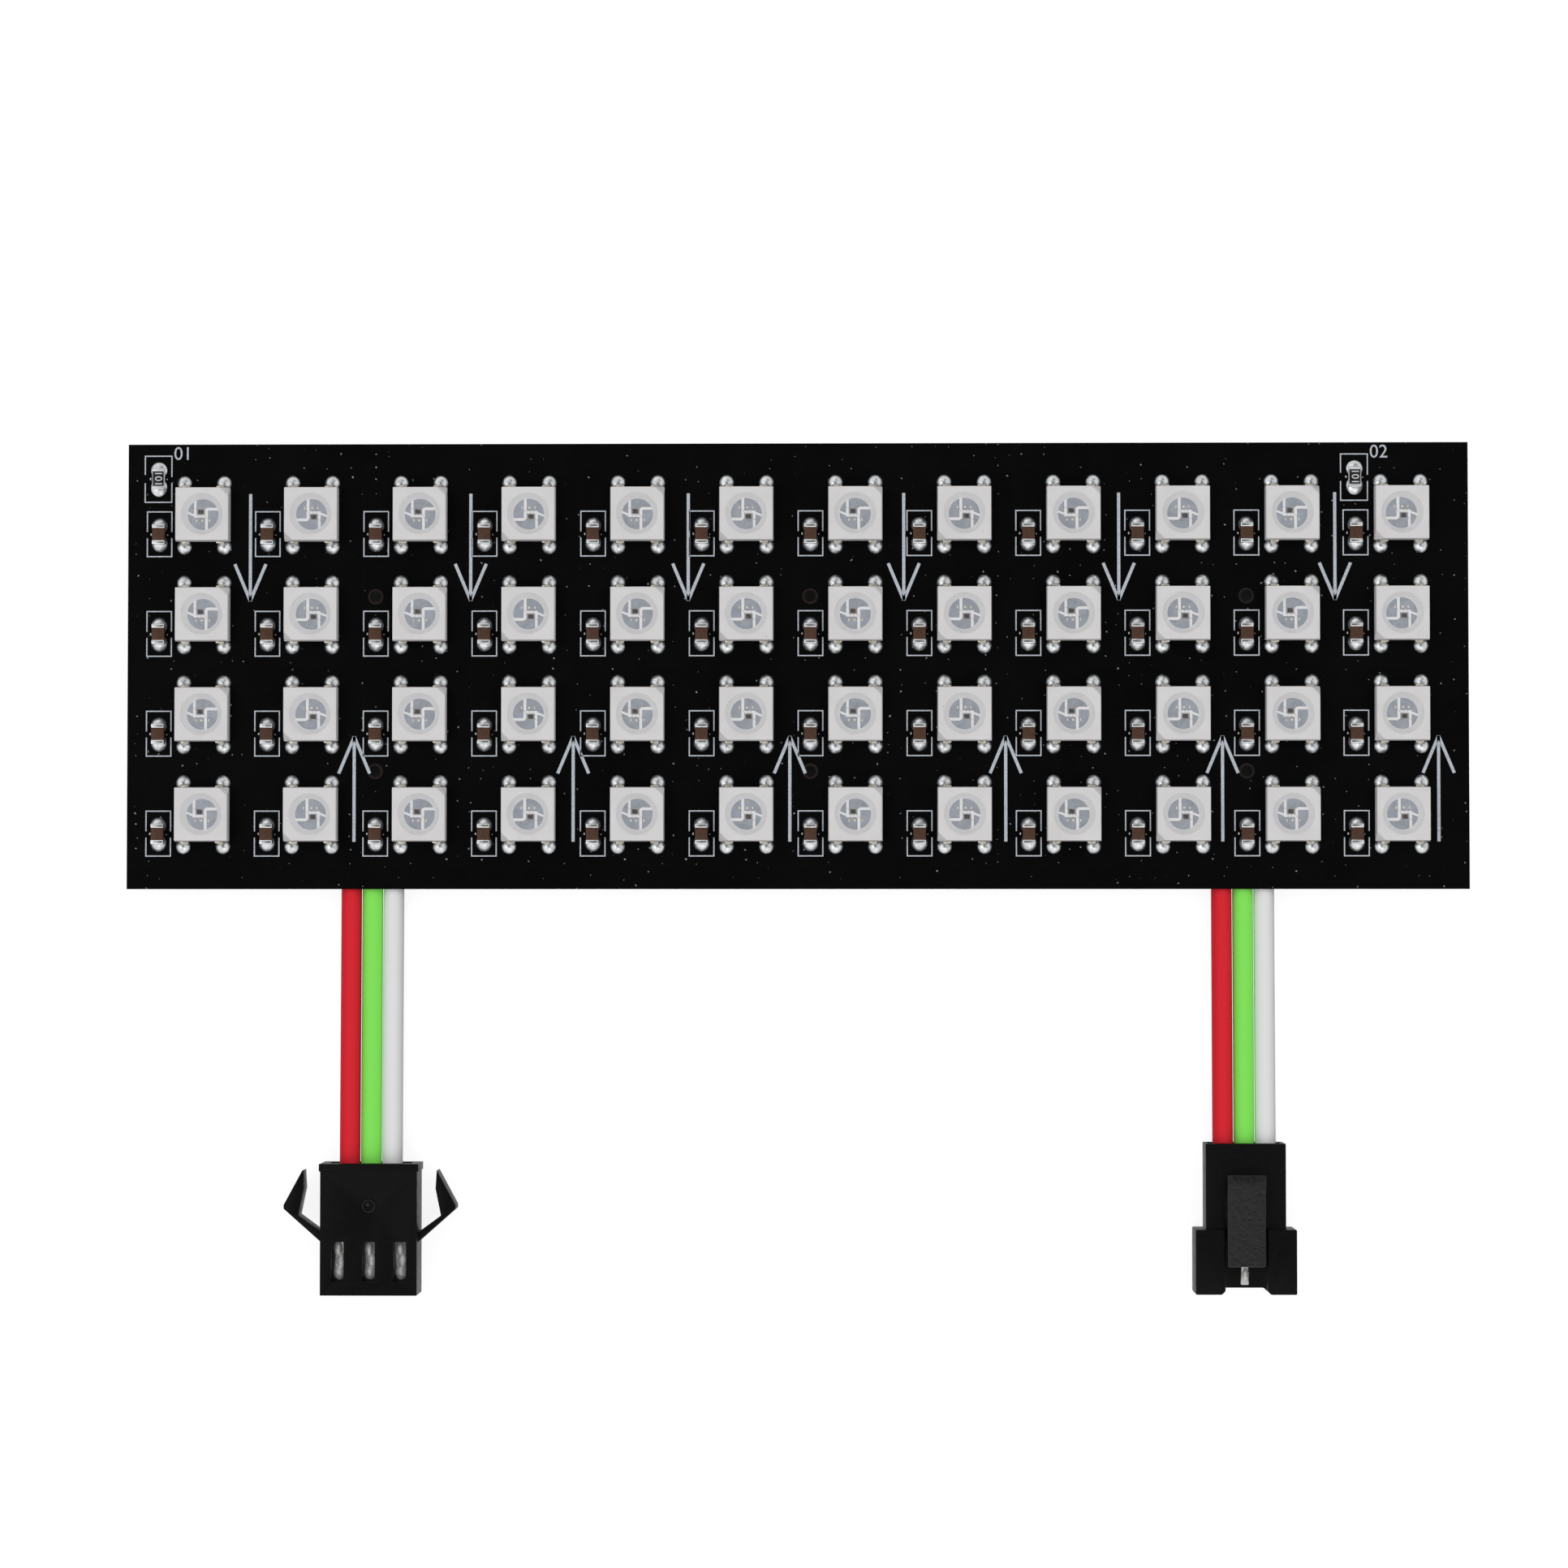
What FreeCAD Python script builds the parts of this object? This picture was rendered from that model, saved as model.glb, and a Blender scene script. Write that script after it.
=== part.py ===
import FreeCAD, Part
import Sketcher

import math
import os
import re

# An RGB LED matrix panel lying on its back: a thin flexible board that carries four rows of
# twelve LED packages, with an input lead and an output lead that end in a mating plug and socket.
# X runs along the board, Y up the board, Z from its back to its front. The origin lies on the
# surface it rests on, under the middle of the board. All lengths are in millimetres.

SIZES = {
    # flexible board
    "board_length": 123.2,
    "board_width": 41.0,
    "board_thickness": 0.3,
    "hole_radius": 0.5,
    "hole_column_count": 3,
    "hole_column_step": 4,
    "first_hole_column": 3,
    "hole_beside_led": 4.15,
    "upper_hole_height": 6.4,
    "lower_hole_depth": 9.68,
    # grid of LED packages
    "column_count": 12,
    "row_count": 4,
    "column_pitch": 10.0,
    "row_pitch": 9.2,
    "grid_shift_x": 0.42,
    "grid_shift_y": 0.15,
    # LED package
    "led_side": 5.0,
    "led_height": 1.6,
    "cup_mouth_radius": 1.9,
    "cup_floor_radius": 1.43,
    "cup_depth": 0.9,
    "facet_leg": 0.66,
    "facet_drop": 0.5,
    "terminal_spacing": 3.66,
    "terminal_width": 1.27,
    "fillet_reach": 1.1,
    "fillet_rise": 0.95,
    # ceramic capacitor, one to an LED
    "capacitor_left": 4.12,
    "capacitor_below": 1.79,
    "capacitor_length": 1.9,
    "capacitor_width": 1.2,
    "capacitor_height": 0.85,
    "capacitor_end_length": 0.41,
    "end_proud": 0.03,
    # chip resistor, one at each upper corner
    "resistor_left": 4.2,
    "resistor_above": 3.35,
    "resistor_height": 0.5,
    "resistor_end_length": 0.25,
    # leads
    "wire_diameter": 1.9,
    "wire_pitch": 1.95,
    "wire_headroom": 0.75,
    "input_lead_x": 39.05,
    "output_lead_x": 40.95,
    "wire_end_height": 2.0,
    "joint_width": 1.7,
    "joint_length": 3.0,
    "joint_draft": 0.8,
    # parts of both connectors
    "contact_pitch": 2.86,
    "contact_clearance": 0.1,
    "wire_insertion": 2.0,
    "wire_end_gap": 0.05,
    "entry_depth": 4.4,
    "entry_clearance": 0.25,
    "crimp_length": 1.0,
    "crimp_bend_length": 1.0,
    "housing_middle": 2.3,
    # input plug
    "plug_edge_distance": 25.1,
    "plug_width": 9.1,
    "plug_length": 12.0,
    "plug_height": 4.6,
    "lip_length": 0.7,
    "lip_proud": 0.12,
    "window_width": 1.17,
    "window_length": 3.6,
    "window_from_end": 1.28,
    "mark_radius": 0.7,
    "mark_depth": 0.15,
    "mark_from_rear": 3.84,
    "wing_bottom": 0.9,
    "wing_height": 2.8,
    "wing_root_far": 7.2,
    "wing_root_near": 6.3,
    "wing_span": 7.88,
    "wing_barb_from_rear": 3.8,
    "wing_tip_x": 6.15,
    "wing_tip_from_rear": 0.6,
    "wing_neck_x": 6.55,
    "wing_neck_from_rear": 4.75,
    "wing_inner_x": 6.05,
    "wing_inner_from_rear": 2.3,
    "plug_contact_width": 1.6,
    "plug_contact_height": 1.8,
    "plug_contact_inset": 0.5,
    # output socket
    "socket_edge_distance": 23.2,
    "socket_width": 7.3,
    "socket_bottom": 0.4,
    "socket_height": 3.8,
    "shroud_from_rear": 7.8,
    "shroud_width": 9.2,
    "shroud_length": 5.9,
    "shroud_height": 4.6,
    "shroud_wall": 0.7,
    "shroud_floor_notch": 0.33,
    "lever_width": 3.5,
    "lever_clearance": 0.15,
    "lever_from_rear": 2.8,
    "lever_end": 11.15,
    "lever_under": 4.5,
    "lever_thickness": 0.55,
    "thumb_height": 0.4,
    "thumb_length": 0.9,
    "bridge_from_rear": 5.0,
    "bridge_length": 1.7,
    "hook_length": 0.9,
    "hook_drop": 0.6,
    "pin_width": 0.75,
    "pin_inset": 0.75,
}

# The cups are round. Each is drawn with this many straight sides, because there are so many of them.
CUP_SIDES = 20

# The three wires of a lead, from left to right
WIRE_COLOURS = ("red", "green", "white")

doc = FreeCAD.newDocument("led_matrix_panel")

sheet = doc.addObject("Spreadsheet::Sheet", "sizes")
for line, (name, value) in enumerate(SIZES.items(), start=1):
    sheet.set(f"A{line}", name)
    sheet.set(f"B{line}", str(value))
    sheet.setAlias(f"B{line}", name)
doc.recompute()

# Heights and places that several pieces share, as formulas in the sheet's sizes
BOARD_UNDERSIDE = "(wire_diameter + wire_headroom)"
BOARD_TOP = f"({BOARD_UNDERSIDE} + board_thickness)"
BOARD_EDGE = "(-board_width / 2)"
ENTRY_HEIGHT = "(wire_diameter + 2 * entry_clearance)"
RECESS_WIDTH = "(2 * contact_pitch + contact_width + 2 * contact_clearance)"
PLUG_RECESS_WIDTH = RECESS_WIDTH.replace("contact_width", "plug_contact_width")
SOCKET_RECESS_WIDTH = RECESS_WIDTH.replace("contact_width", "pin_width")
SOCKET_LENGTH = "(shroud_from_rear + shroud_length)"
LEVER_TOP = "(lever_under + lever_thickness)"
FIRST_COLUMN_X = "(grid_shift_x - (column_count - 1) / 2 * column_pitch)"
LAST_COLUMN_X = "(grid_shift_x + (column_count - 1) / 2 * column_pitch)"
TOP_ROW_Y = "(grid_shift_y + (row_count - 1) / 2 * row_pitch)"


def formula(text):
    """The formula with each size's name led by the sheet's name."""
    return re.sub(r"[a-z]\w*", lambda word: f"sizes.{word[0]}" if word[0] in SIZES else word[0], text)


def value_of(text):
    """The number that a formula gives with the sheet's present sizes."""
    return float(sheet.evalExpression(formula(text)))


def place(piece, x="0", y="0", z="0"):
    """Binds where a piece stands to the sheet."""
    for axis, text in (("x", x), ("y", y), ("z", z)):
        piece.setExpression(f"Placement.Base.{axis}", formula(text))


def new_body(label, x="0", y="0", z="0"):
    """A piece, or a group of like pieces, that is built from sketches."""
    body = doc.addObject("PartDesign::Body", label)
    body.Label = label
    body.AllowCompound = True
    place(body, x, y, z)
    return body


def origin_part(body, role):
    """One of the body's own origin planes or axes."""
    return next(part for part in body.Origin.OriginFeatures if part.Role == role)


def new_sketch(body, plane, offset=("0", "0", "0"), turn=0):
    """A sketch on an origin plane, shifted and turned about its own second axis."""
    sketch = body.newObject("Sketcher::SketchObject", f"{body.Name}_sketch")
    sketch.AttachmentSupport = (origin_part(body, plane), [""])
    sketch.MapMode = "FlatFace"
    upright = FreeCAD.Vector(0, 1, 0)
    sketch.AttachmentOffset = FreeCAD.Placement(FreeCAD.Vector(), FreeCAD.Rotation(upright, turn))
    for axis, text in zip("xyz", offset):
        sketch.setExpression(f"AttachmentOffset.Base.{axis}", formula(text))
    return sketch


def pin_point(sketch, edge, end, x, y):
    """Holds a point of the sketch at two formulas, measured from the sketch's origin."""
    for kind, text in (("DistanceX", x), ("DistanceY", y)):
        index = sketch.addConstraint(Sketcher.Constraint(kind, -1, 1, edge, end, value_of(text)))
        sketch.setExpression(f"Constraints[{index}]", formula(text))


def draw_outline(sketch, points):
    """A closed outline of straight lines through points, each a pair of formulas."""
    corners = [FreeCAD.Vector(value_of(x), value_of(y), 0) for x, y in points]
    first = sketch.GeometryCount
    count = len(corners)
    for i in range(count):
        sketch.addGeometry(Part.LineSegment(corners[i], corners[(i + 1) % count]))
    for i in range(count):
        sketch.addConstraint(Sketcher.Constraint("Coincident", first + i, 2, first + (i + 1) % count, 1))
        pin_point(sketch, first + i, 1, *points[i])


def draw_box(sketch, left, right, low, high):
    """A rectangle between four formulas."""
    draw_outline(sketch, [(left, low), (right, low), (right, high), (left, high)])


def draw_circle(sketch, x, y, radius):
    """A circle whose centre and radius are formulas."""
    centre = FreeCAD.Vector(value_of(x), value_of(y), 0)
    circle = Part.Circle(centre, FreeCAD.Vector(0, 0, 1), value_of(radius))
    edge = sketch.addGeometry(circle)
    pin_point(sketch, edge, 3, x, y)
    index = sketch.addConstraint(Sketcher.Constraint("Radius", edge, value_of(radius)))
    sketch.setExpression(f"Constraints[{index}]", formula(radius))


def extrude(kind, body, sketch, length, backwards=False, both_ways=False):
    """A pad or a pocket of a sketch."""
    feature = body.newObject(f"PartDesign::{kind}", f"{body.Name}_{kind.lower()}")
    feature.Profile = sketch
    feature.Reversed = backwards
    feature.SideType = "Symmetric" if both_ways else "One side"
    feature.setExpression("Length", formula(length))
    return feature


def new_repeat(body):
    """Starts a repeat of the body's whole shape, to which steps are then added."""
    many = body.newObject("PartDesign::MultiTransform", f"{body.Name}_repeat")
    many.TransformMode = "Whole shape"
    many.BaseFeature = body.Tip
    many.Refine = False
    body.Tip = many
    return many


def add_step(many, kind):
    """Adds one step to a repeat. The steps work in turn on what the earlier ones gave."""
    step = doc.addObject(f"PartDesign::{kind}", f"{many.Name}_step")
    many.Transformations = many.Transformations + [step]
    return step


def copy_along(many, axis, spacing, count):
    """Copies in a straight line along an axis of the body."""
    step = add_step(many, "LinearPattern")
    step.Direction = (axis, [""])
    step.Mode = "Spacing"
    step.setExpression("Offset", formula(spacing))
    step.setExpression("Occurrences", formula(count))


def copy_turned(many, axis):
    """A second copy, turned half round about an axis of the body."""
    step = add_step(many, "PolarPattern")
    step.Axis = (axis, [""])
    step.Angle = 360
    step.Occurrences = 2


def board():
    """The flexible board: one thin sheet with two rows of small round holes."""
    body = new_body("flex_board", z=BOARD_UNDERSIDE)
    sketch = new_sketch(body, "XY_Plane")
    draw_box(sketch, "-board_length / 2", "board_length / 2", "-board_width / 2", "board_width / 2")
    for column in range(SIZES["hole_column_count"]):
        led_x = f"{FIRST_COLUMN_X} + (first_hole_column - 1 + {column} * hole_column_step) * column_pitch"
        for hole_y in ("upper_hole_height", "-lower_hole_depth"):
            draw_circle(sketch, f"{led_x} - hole_beside_led", hole_y, "hole_radius")
    extrude("Pad", body, sketch, "board_thickness")


def row_y(row):
    """The height of a row of LED packages, row 1 being the top one."""
    return f"({TOP_ROW_Y} - {row - 1} * row_pitch)"


def led_row_body(label, row):
    """A body for one row, standing on the board halfway between the first two columns."""
    return new_body(label, f"{FIRST_COLUMN_X} + column_pitch / 2", row_y(row), BOARD_TOP)


def cup(kind, body):
    """The cup of a package: widest at the package's top, narrowing to the leadframe at its floor."""
    ring = new_sketch(body, "XY_Plane", ("-column_pitch / 2", "0", "led_height"))
    corners = []
    for side in range(CUP_SIDES):
        turn = 360 / CUP_SIDES * (side + 0.5)
        corners.append((f"cup_mouth_radius * cos({turn})", f"cup_mouth_radius * sin({turn})"))
    draw_outline(ring, corners)
    straight = extrude(kind, body, ring, "cup_depth", backwards=kind == "Pad")
    doc.recompute()
    axis = FreeCAD.Vector(value_of("-column_pitch / 2"), 0, 0)
    reach = value_of("cup_mouth_radius")
    walls = []
    for index, face in enumerate(straight.Shape.Faces, start=1):
        offset = face.CenterOfMass - axis
        if abs(face.normalAt(0, 0).z) < 0.5 and math.hypot(offset.x, offset.y) < reach:
            walls.append(f"Face{index}")
        elif face.CenterOfMass.z > value_of("led_height") - 0.001:
            mouth = f"Face{index}"
    slope = body.newObject("PartDesign::Draft", f"{body.Name}_cup_slope")
    slope.Base = (straight, walls)
    slope.NeutralPlane = (straight, [mouth])
    narrowing = f"(cup_mouth_radius - cup_floor_radius) * cos({180 / CUP_SIDES})"
    slope.setExpression("Angle", formula(f"atan({narrowing} / cup_depth)"))
    slope.Reversed = kind == "Pad"
    body.Tip = slope


def led_housings(row):
    """The moulded white bodies of a row, each second one turned half round."""
    body = led_row_body(f"led_housings_row_{row}", row)
    block = new_sketch(body, "XY_Plane", ("-column_pitch / 2", "0", "0"))
    draw_box(block, "-led_side / 2", "led_side / 2", "-led_side / 2", "led_side / 2")
    extrude("Pad", body, block, "led_height")
    # The polarity facet slopes off the top right corner, so its section stands on the diagonal.
    facet = new_sketch(body, "XZ_Plane", ("-column_pitch / 2", "0", "0"), turn=45)
    corner = "led_side / 2 * sqrt(2)"
    leg = "facet_leg / sqrt(2)"
    draw_outline(
        facet,
        [
            (f"{corner} - {leg}", "led_height"),
            (f"{corner} + {leg}", "led_height - 2 * facet_drop"),
            (f"{corner} + {leg}", "led_height"),
        ],
    )
    extrude("Pocket", body, facet, "2 * led_side", both_ways=True)
    cup("Pocket", body)
    many = new_repeat(body)
    copy_turned(many, origin_part(body, "Z_Axis"))
    copy_along(many, origin_part(body, "X_Axis"), "2 * column_pitch", "column_count / 2")


def led_lenses(row):
    """The clear fill of each cup, level with the package's top."""
    body = led_row_body(f"led_lenses_row_{row}", row)
    cup("Pad", body)
    copy_along(new_repeat(body), origin_part(body, "X_Axis"), "column_pitch", "column_count")


def led_terminals(row):
    """Four terminals to a package, each bedded in a fillet of solder against the package's side."""
    body = led_row_body(f"led_terminals_row_{row}", row)
    first_x = "-(column_pitch + terminal_spacing) / 2"
    sketch = new_sketch(body, "YZ_Plane", ("0", "0", first_x))
    for side in ("", "-"):
        draw_outline(
            sketch,
            [
                (f"{side}led_side / 2", "0"),
                (f"{side}(led_side / 2 + fillet_reach)", "0"),
                (f"{side}led_side / 2", "fillet_rise"),
            ],
        )
    extrude("Pad", body, sketch, "terminal_width", both_ways=True)
    many = new_repeat(body)
    copy_along(many, origin_part(body, "X_Axis"), "terminal_spacing", "2")
    copy_along(many, origin_part(body, "X_Axis"), "column_pitch", "column_count")


def chip_middle(body, height, end_length):
    """The ceramic block of a chip part, between its two metal ends."""
    sketch = new_sketch(body, "XY_Plane", ("0", "0", "end_proud"))
    half = f"(capacitor_length / 2 - {end_length})"
    draw_box(sketch, "end_proud - capacitor_width / 2", "capacitor_width / 2 - end_proud", f"-{half}", half)
    extrude("Pad", body, sketch, f"{height} - 2 * end_proud")


def chip_ends(body, height, end_length):
    """The two metal ends of a chip part, a little proud of the block between them."""
    sketch = new_sketch(body, "XY_Plane")
    near = f"(capacitor_length / 2 - {end_length})"
    far = "(capacitor_length / 2)"
    draw_box(sketch, "-capacitor_width / 2", "capacitor_width / 2", near, far)
    draw_box(sketch, "-capacitor_width / 2", "capacitor_width / 2", f"-{far}", f"-{near}")
    extrude("Pad", body, sketch, height)


def capacitors(row):
    """A capacitor to the left of each LED package, its metal ends up and down the board."""
    shapes = (("capacitor_bodies", chip_middle), ("capacitor_ends", chip_ends))
    for name, build in shapes:
        y = f"{row_y(row)} - capacitor_below"
        body = new_body(f"{name}_row_{row}", f"{FIRST_COLUMN_X} - capacitor_left", y, BOARD_TOP)
        build(body, "capacitor_height", "capacitor_end_length")
        copy_along(new_repeat(body), origin_part(body, "X_Axis"), "column_pitch", "column_count")


def resistor(name, column_x):
    """The resistor above the capacitor of a corner LED. It is as long and wide as a capacitor."""
    for suffix, build in (("body", chip_middle), ("ends", chip_ends)):
        y = f"{TOP_ROW_Y} + resistor_above"
        body = new_body(f"{name}_resistor_{suffix}", f"{column_x} - resistor_left", y, BOARD_TOP)
        build(body, "resistor_height", "resistor_end_length")


def wire_joints(name, lead_x):
    """Three lumps of solder on the board's back, where the lead's wires end."""
    body = new_body(f"{name}_wire_joints", lead_x, "wire_end_height")
    sketch = new_sketch(body, "YZ_Plane", ("0", "0", "-wire_pitch"))
    far = "(joint_length - joint_draft)"
    draw_outline(
        sketch, [("0", "0"), (far, "0"), ("joint_length", BOARD_UNDERSIDE), ("0", BOARD_UNDERSIDE)]
    )
    extrude("Pad", body, sketch, "joint_width", both_ways=True)
    copy_along(new_repeat(body), origin_part(body, "X_Axis"), "wire_pitch", str(len(WIRE_COLOURS)))


def wire(label, x, housing_y):
    """An insulated wire, pulled straight from its joint under the board into its housing."""
    radius = value_of("wire_diameter / 2")
    first = FreeCAD.Vector(x, value_of("wire_end_height - wire_end_gap"), radius)
    last = FreeCAD.Vector(x, housing_y - value_of("wire_insertion"), value_of("housing_middle"))
    run = last - first
    tube = Part.makeCylinder(radius, run.Length, first, run)
    print(f"{label}: one straight run of {run.Length:.2f} mm")
    piece = doc.addObject("Part::Feature", label)
    piece.Label = label
    piece.Shape = tube
    piece.Placement = FreeCAD.Placement()


def lead(name, lead_x, edge_distance):
    """The three wires of a lead, side by side."""
    housing_y = value_of(f"{BOARD_EDGE} - {edge_distance}")
    for index, colour in enumerate(WIRE_COLOURS):
        wire(f"{name}_wire_{colour}", value_of(f"{lead_x} + {index - 1} * wire_pitch"), housing_y)


def wire_entries(body, recess_width, channel_width, channel_height, channel_length):
    """The recess that takes the three wires, and the channels that hold their contacts."""
    recess = new_sketch(body, "XZ_Plane")
    low = f"(housing_middle - {ENTRY_HEIGHT} / 2)"
    high = f"(housing_middle + {ENTRY_HEIGHT} / 2)"
    draw_box(recess, f"-{recess_width} / 2", f"{recess_width} / 2", low, high)
    extrude("Pocket", body, recess, "entry_depth", backwards=True)
    channels = new_sketch(body, "XZ_Plane")
    half_width = f"({channel_width} / 2 + contact_clearance)"
    half_height = f"({channel_height} / 2 + contact_clearance)"
    for side in (-1, 0, 1):
        middle = f"{side} * contact_pitch"
        draw_box(
            channels,
            f"{middle} - {half_width}",
            f"{middle} + {half_width}",
            f"housing_middle - {half_height}",
            f"housing_middle + {half_height}",
        )
    extrude("Pocket", body, channels, channel_length, backwards=True)


def plug_housing():
    """The input plug: a flat block with a lip, three windows and a barbed wing on each side."""
    body = new_body("input_plug_housing", "-input_lead_x", f"{BOARD_EDGE} - plug_edge_distance")
    side = "(plug_width / 2 - lip_proud)"
    block = new_sketch(body, "XY_Plane")
    draw_box(block, f"-{side}", side, "-plug_length", "0")
    extrude("Pad", body, block, "plug_height - lip_proud")
    lip = new_sketch(body, "XY_Plane")
    draw_box(lip, "-plug_width / 2", "plug_width / 2", "-lip_length", "0")
    extrude("Pad", body, lip, "plug_height")
    for sign in ("", "-"):
        wing = new_sketch(body, "XY_Plane", ("0", "0", "wing_bottom"))
        draw_outline(
            wing,
            [
                (f"{sign}({side} - lip_proud)", "-wing_root_far"),
                (f"{sign}{side}", "-wing_root_far"),
                (f"{sign}wing_span", "-wing_barb_from_rear - lip_length / 2"),
                (f"{sign}wing_span", "-wing_barb_from_rear"),
                (f"{sign}wing_tip_x", "-wing_tip_from_rear"),
                (f"{sign}wing_inner_x", "-wing_inner_from_rear"),
                (f"{sign}wing_neck_x", "-wing_neck_from_rear"),
                (f"{sign}{side}", "-wing_root_near"),
                (f"{sign}({side} - lip_proud)", "-wing_root_near"),
            ],
        )
        extrude("Pad", body, wing, "wing_height")
    wire_entries(body, PLUG_RECESS_WIDTH, "plug_contact_width", "plug_contact_height", "plug_length")
    windows = new_sketch(body, "XY_Plane", ("0", "0", "plug_height"))
    for step in (-1, 0, 1):
        middle = f"{step} * contact_pitch"
        draw_box(
            windows,
            f"{middle} - window_width / 2",
            f"{middle} + window_width / 2",
            "window_from_end - plug_length",
            "window_from_end + window_length - plug_length",
        )
    extrude("Pocket", body, windows, "plug_height - housing_middle")
    mark = new_sketch(body, "XY_Plane", ("0", "0", "plug_height - lip_proud"))
    draw_circle(mark, "0", "-mark_from_rear", "mark_radius")
    extrude("Pocket", body, mark, "mark_depth")


def socket_housing():
    """The output socket: a slim rear block, a wide shroud at its mouth and a latch lever on top."""
    y = f"{BOARD_EDGE} - socket_edge_distance"
    body = new_body("output_socket_housing", "output_lead_x", y)
    rear = new_sketch(body, "XY_Plane", ("0", "0", "socket_bottom"))
    draw_box(rear, "-socket_width / 2", "socket_width / 2", "-shroud_from_rear", "0")
    extrude("Pad", body, rear, "socket_height")
    shroud = new_sketch(body, "XY_Plane")
    draw_box(shroud, "-shroud_width / 2", "shroud_width / 2", f"-{SOCKET_LENGTH}", "-shroud_from_rear")
    extrude("Pad", body, shroud, "shroud_height")
    mouth = new_sketch(body, "XZ_Plane", ("0", "0", SOCKET_LENGTH))
    draw_box(
        mouth,
        "shroud_wall - shroud_width / 2",
        "shroud_width / 2 - shroud_wall",
        "shroud_wall",
        "shroud_height - shroud_wall",
    )
    extrude("Pocket", body, mouth, "shroud_length - shroud_wall")
    slot = new_sketch(body, "XY_Plane", ("0", "0", "shroud_height"))
    slot_side = "(lever_width / 2 + lever_clearance)"
    draw_box(slot, f"-{slot_side}", slot_side, f"-{SOCKET_LENGTH}", "-shroud_from_rear")
    extrude("Pocket", body, slot, "shroud_wall")
    notch = new_sketch(body, "XY_Plane")
    draw_outline(
        notch,
        [
            (f"-{slot_side} - shroud_floor_notch", f"-{SOCKET_LENGTH}"),
            (f"{slot_side} + shroud_floor_notch", f"-{SOCKET_LENGTH}"),
            (slot_side, f"shroud_floor_notch - {SOCKET_LENGTH}"),
            (f"-{slot_side}", f"shroud_floor_notch - {SOCKET_LENGTH}"),
        ],
    )
    extrude("Pocket", body, notch, "shroud_height", backwards=True)
    wire_entries(body, SOCKET_RECESS_WIDTH, "pin_width", "pin_width", "shroud_from_rear + shroud_wall")
    lever = new_sketch(body, "YZ_Plane")
    body_top = "(socket_bottom + socket_height)"
    draw_outline(
        lever,
        [
            ("-lever_from_rear", "lever_under"),
            ("-lever_from_rear", f"{LEVER_TOP} + thumb_height"),
            ("-lever_from_rear - thumb_length", f"{LEVER_TOP} + thumb_height"),
            ("-lever_from_rear - 2 * thumb_length", LEVER_TOP),
            ("-lever_end", LEVER_TOP),
            ("-lever_end", "lever_under - hook_drop"),
            ("hook_length - lever_end", "lever_under - hook_drop"),
            ("hook_length - lever_end", "lever_under"),
            ("-bridge_from_rear - bridge_length", "lever_under"),
            ("-bridge_from_rear - bridge_length", f"{body_top} - lever_clearance"),
            ("-bridge_from_rear", f"{body_top} - lever_clearance"),
            ("-bridge_from_rear", "lever_under"),
        ],
    )
    extrude("Pad", body, lever, "lever_width", both_ways=True)


def contact(label, side, lead_x, rear_y, width, height, end_distance):
    """A crimp contact: it grips its wire, bends outwards to its channel and runs on to its end."""
    body = new_body(label, lead_x, rear_y, f"housing_middle - {height} / 2")
    sketch = new_sketch(body, "XY_Plane")
    crimp_x = f"{side} * wire_pitch"
    blade_x = f"{side} * contact_pitch"
    half = f"({width} / 2)"
    rear = "-(wire_insertion + contact_clearance)"
    bend = f"{rear} - crimp_length"
    blade = f"{bend} - crimp_bend_length"
    if side:
        points = [
            (f"{crimp_x} + {half}", rear),
            (f"{crimp_x} + {half}", bend),
            (f"{blade_x} + {half}", blade),
            (f"{blade_x} + {half}", f"-{end_distance}"),
            (f"{blade_x} - {half}", f"-{end_distance}"),
            (f"{blade_x} - {half}", blade),
            (f"{crimp_x} - {half}", bend),
            (f"{crimp_x} - {half}", rear),
        ]
        draw_outline(sketch, points)
    else:
        draw_box(sketch, f"-{half}", half, f"-{end_distance}", rear)
    extrude("Pad", body, sketch, height)


def contacts():
    """The three spring contacts of the plug and the three pins of the socket."""
    for index, colour in enumerate(WIRE_COLOURS):
        contact(
            f"input_contact_{colour}",
            index - 1,
            "-input_lead_x",
            f"{BOARD_EDGE} - plug_edge_distance",
            "plug_contact_width",
            "plug_contact_height",
            "(plug_length - plug_contact_inset)",
        )
        contact(
            f"output_pin_{colour}",
            index - 1,
            "output_lead_x",
            f"{BOARD_EDGE} - socket_edge_distance",
            "pin_width",
            "pin_width",
            f"({SOCKET_LENGTH} - pin_inset)",
        )


def sub_parts():
    """Every body and lone solid of the document, each of which becomes a file."""
    return [obj for obj in doc.Objects if obj.TypeId in ("PartDesign::Body", "Part::Feature")]


def check_document():
    """Stops if a feature failed, a cut took nothing away or a sub-part has no valid solid."""
    for obj in doc.Objects:
        if "Invalid" in obj.State or "Error" in obj.State:
            raise RuntimeError(f"{obj.Name} failed: {obj.State}")
        if obj.TypeId == "PartDesign::Pocket":
            if obj.Shape.Volume > obj.BaseFeature.Shape.Volume - 0.001:
                raise RuntimeError(f"{obj.Name} cuts nothing")
    for obj in sub_parts():
        if obj.Shape.isNull() or not obj.Shape.isValid() or not obj.Shape.Solids:
            raise RuntimeError(f"{obj.Label} has no valid solid")


board()
for led_row in range(1, SIZES["row_count"] + 1):
    led_housings(led_row)
    led_lenses(led_row)
    led_terminals(led_row)
    capacitors(led_row)
resistor("input", FIRST_COLUMN_X)
resistor("output", LAST_COLUMN_X)
wire_joints("input", "-input_lead_x")
wire_joints("output", "output_lead_x")
lead("input", "-input_lead_x", "plug_edge_distance")
lead("output", "output_lead_x", "socket_edge_distance")
plug_housing()
socket_housing()
contacts()

doc.recompute()
check_document()

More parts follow.
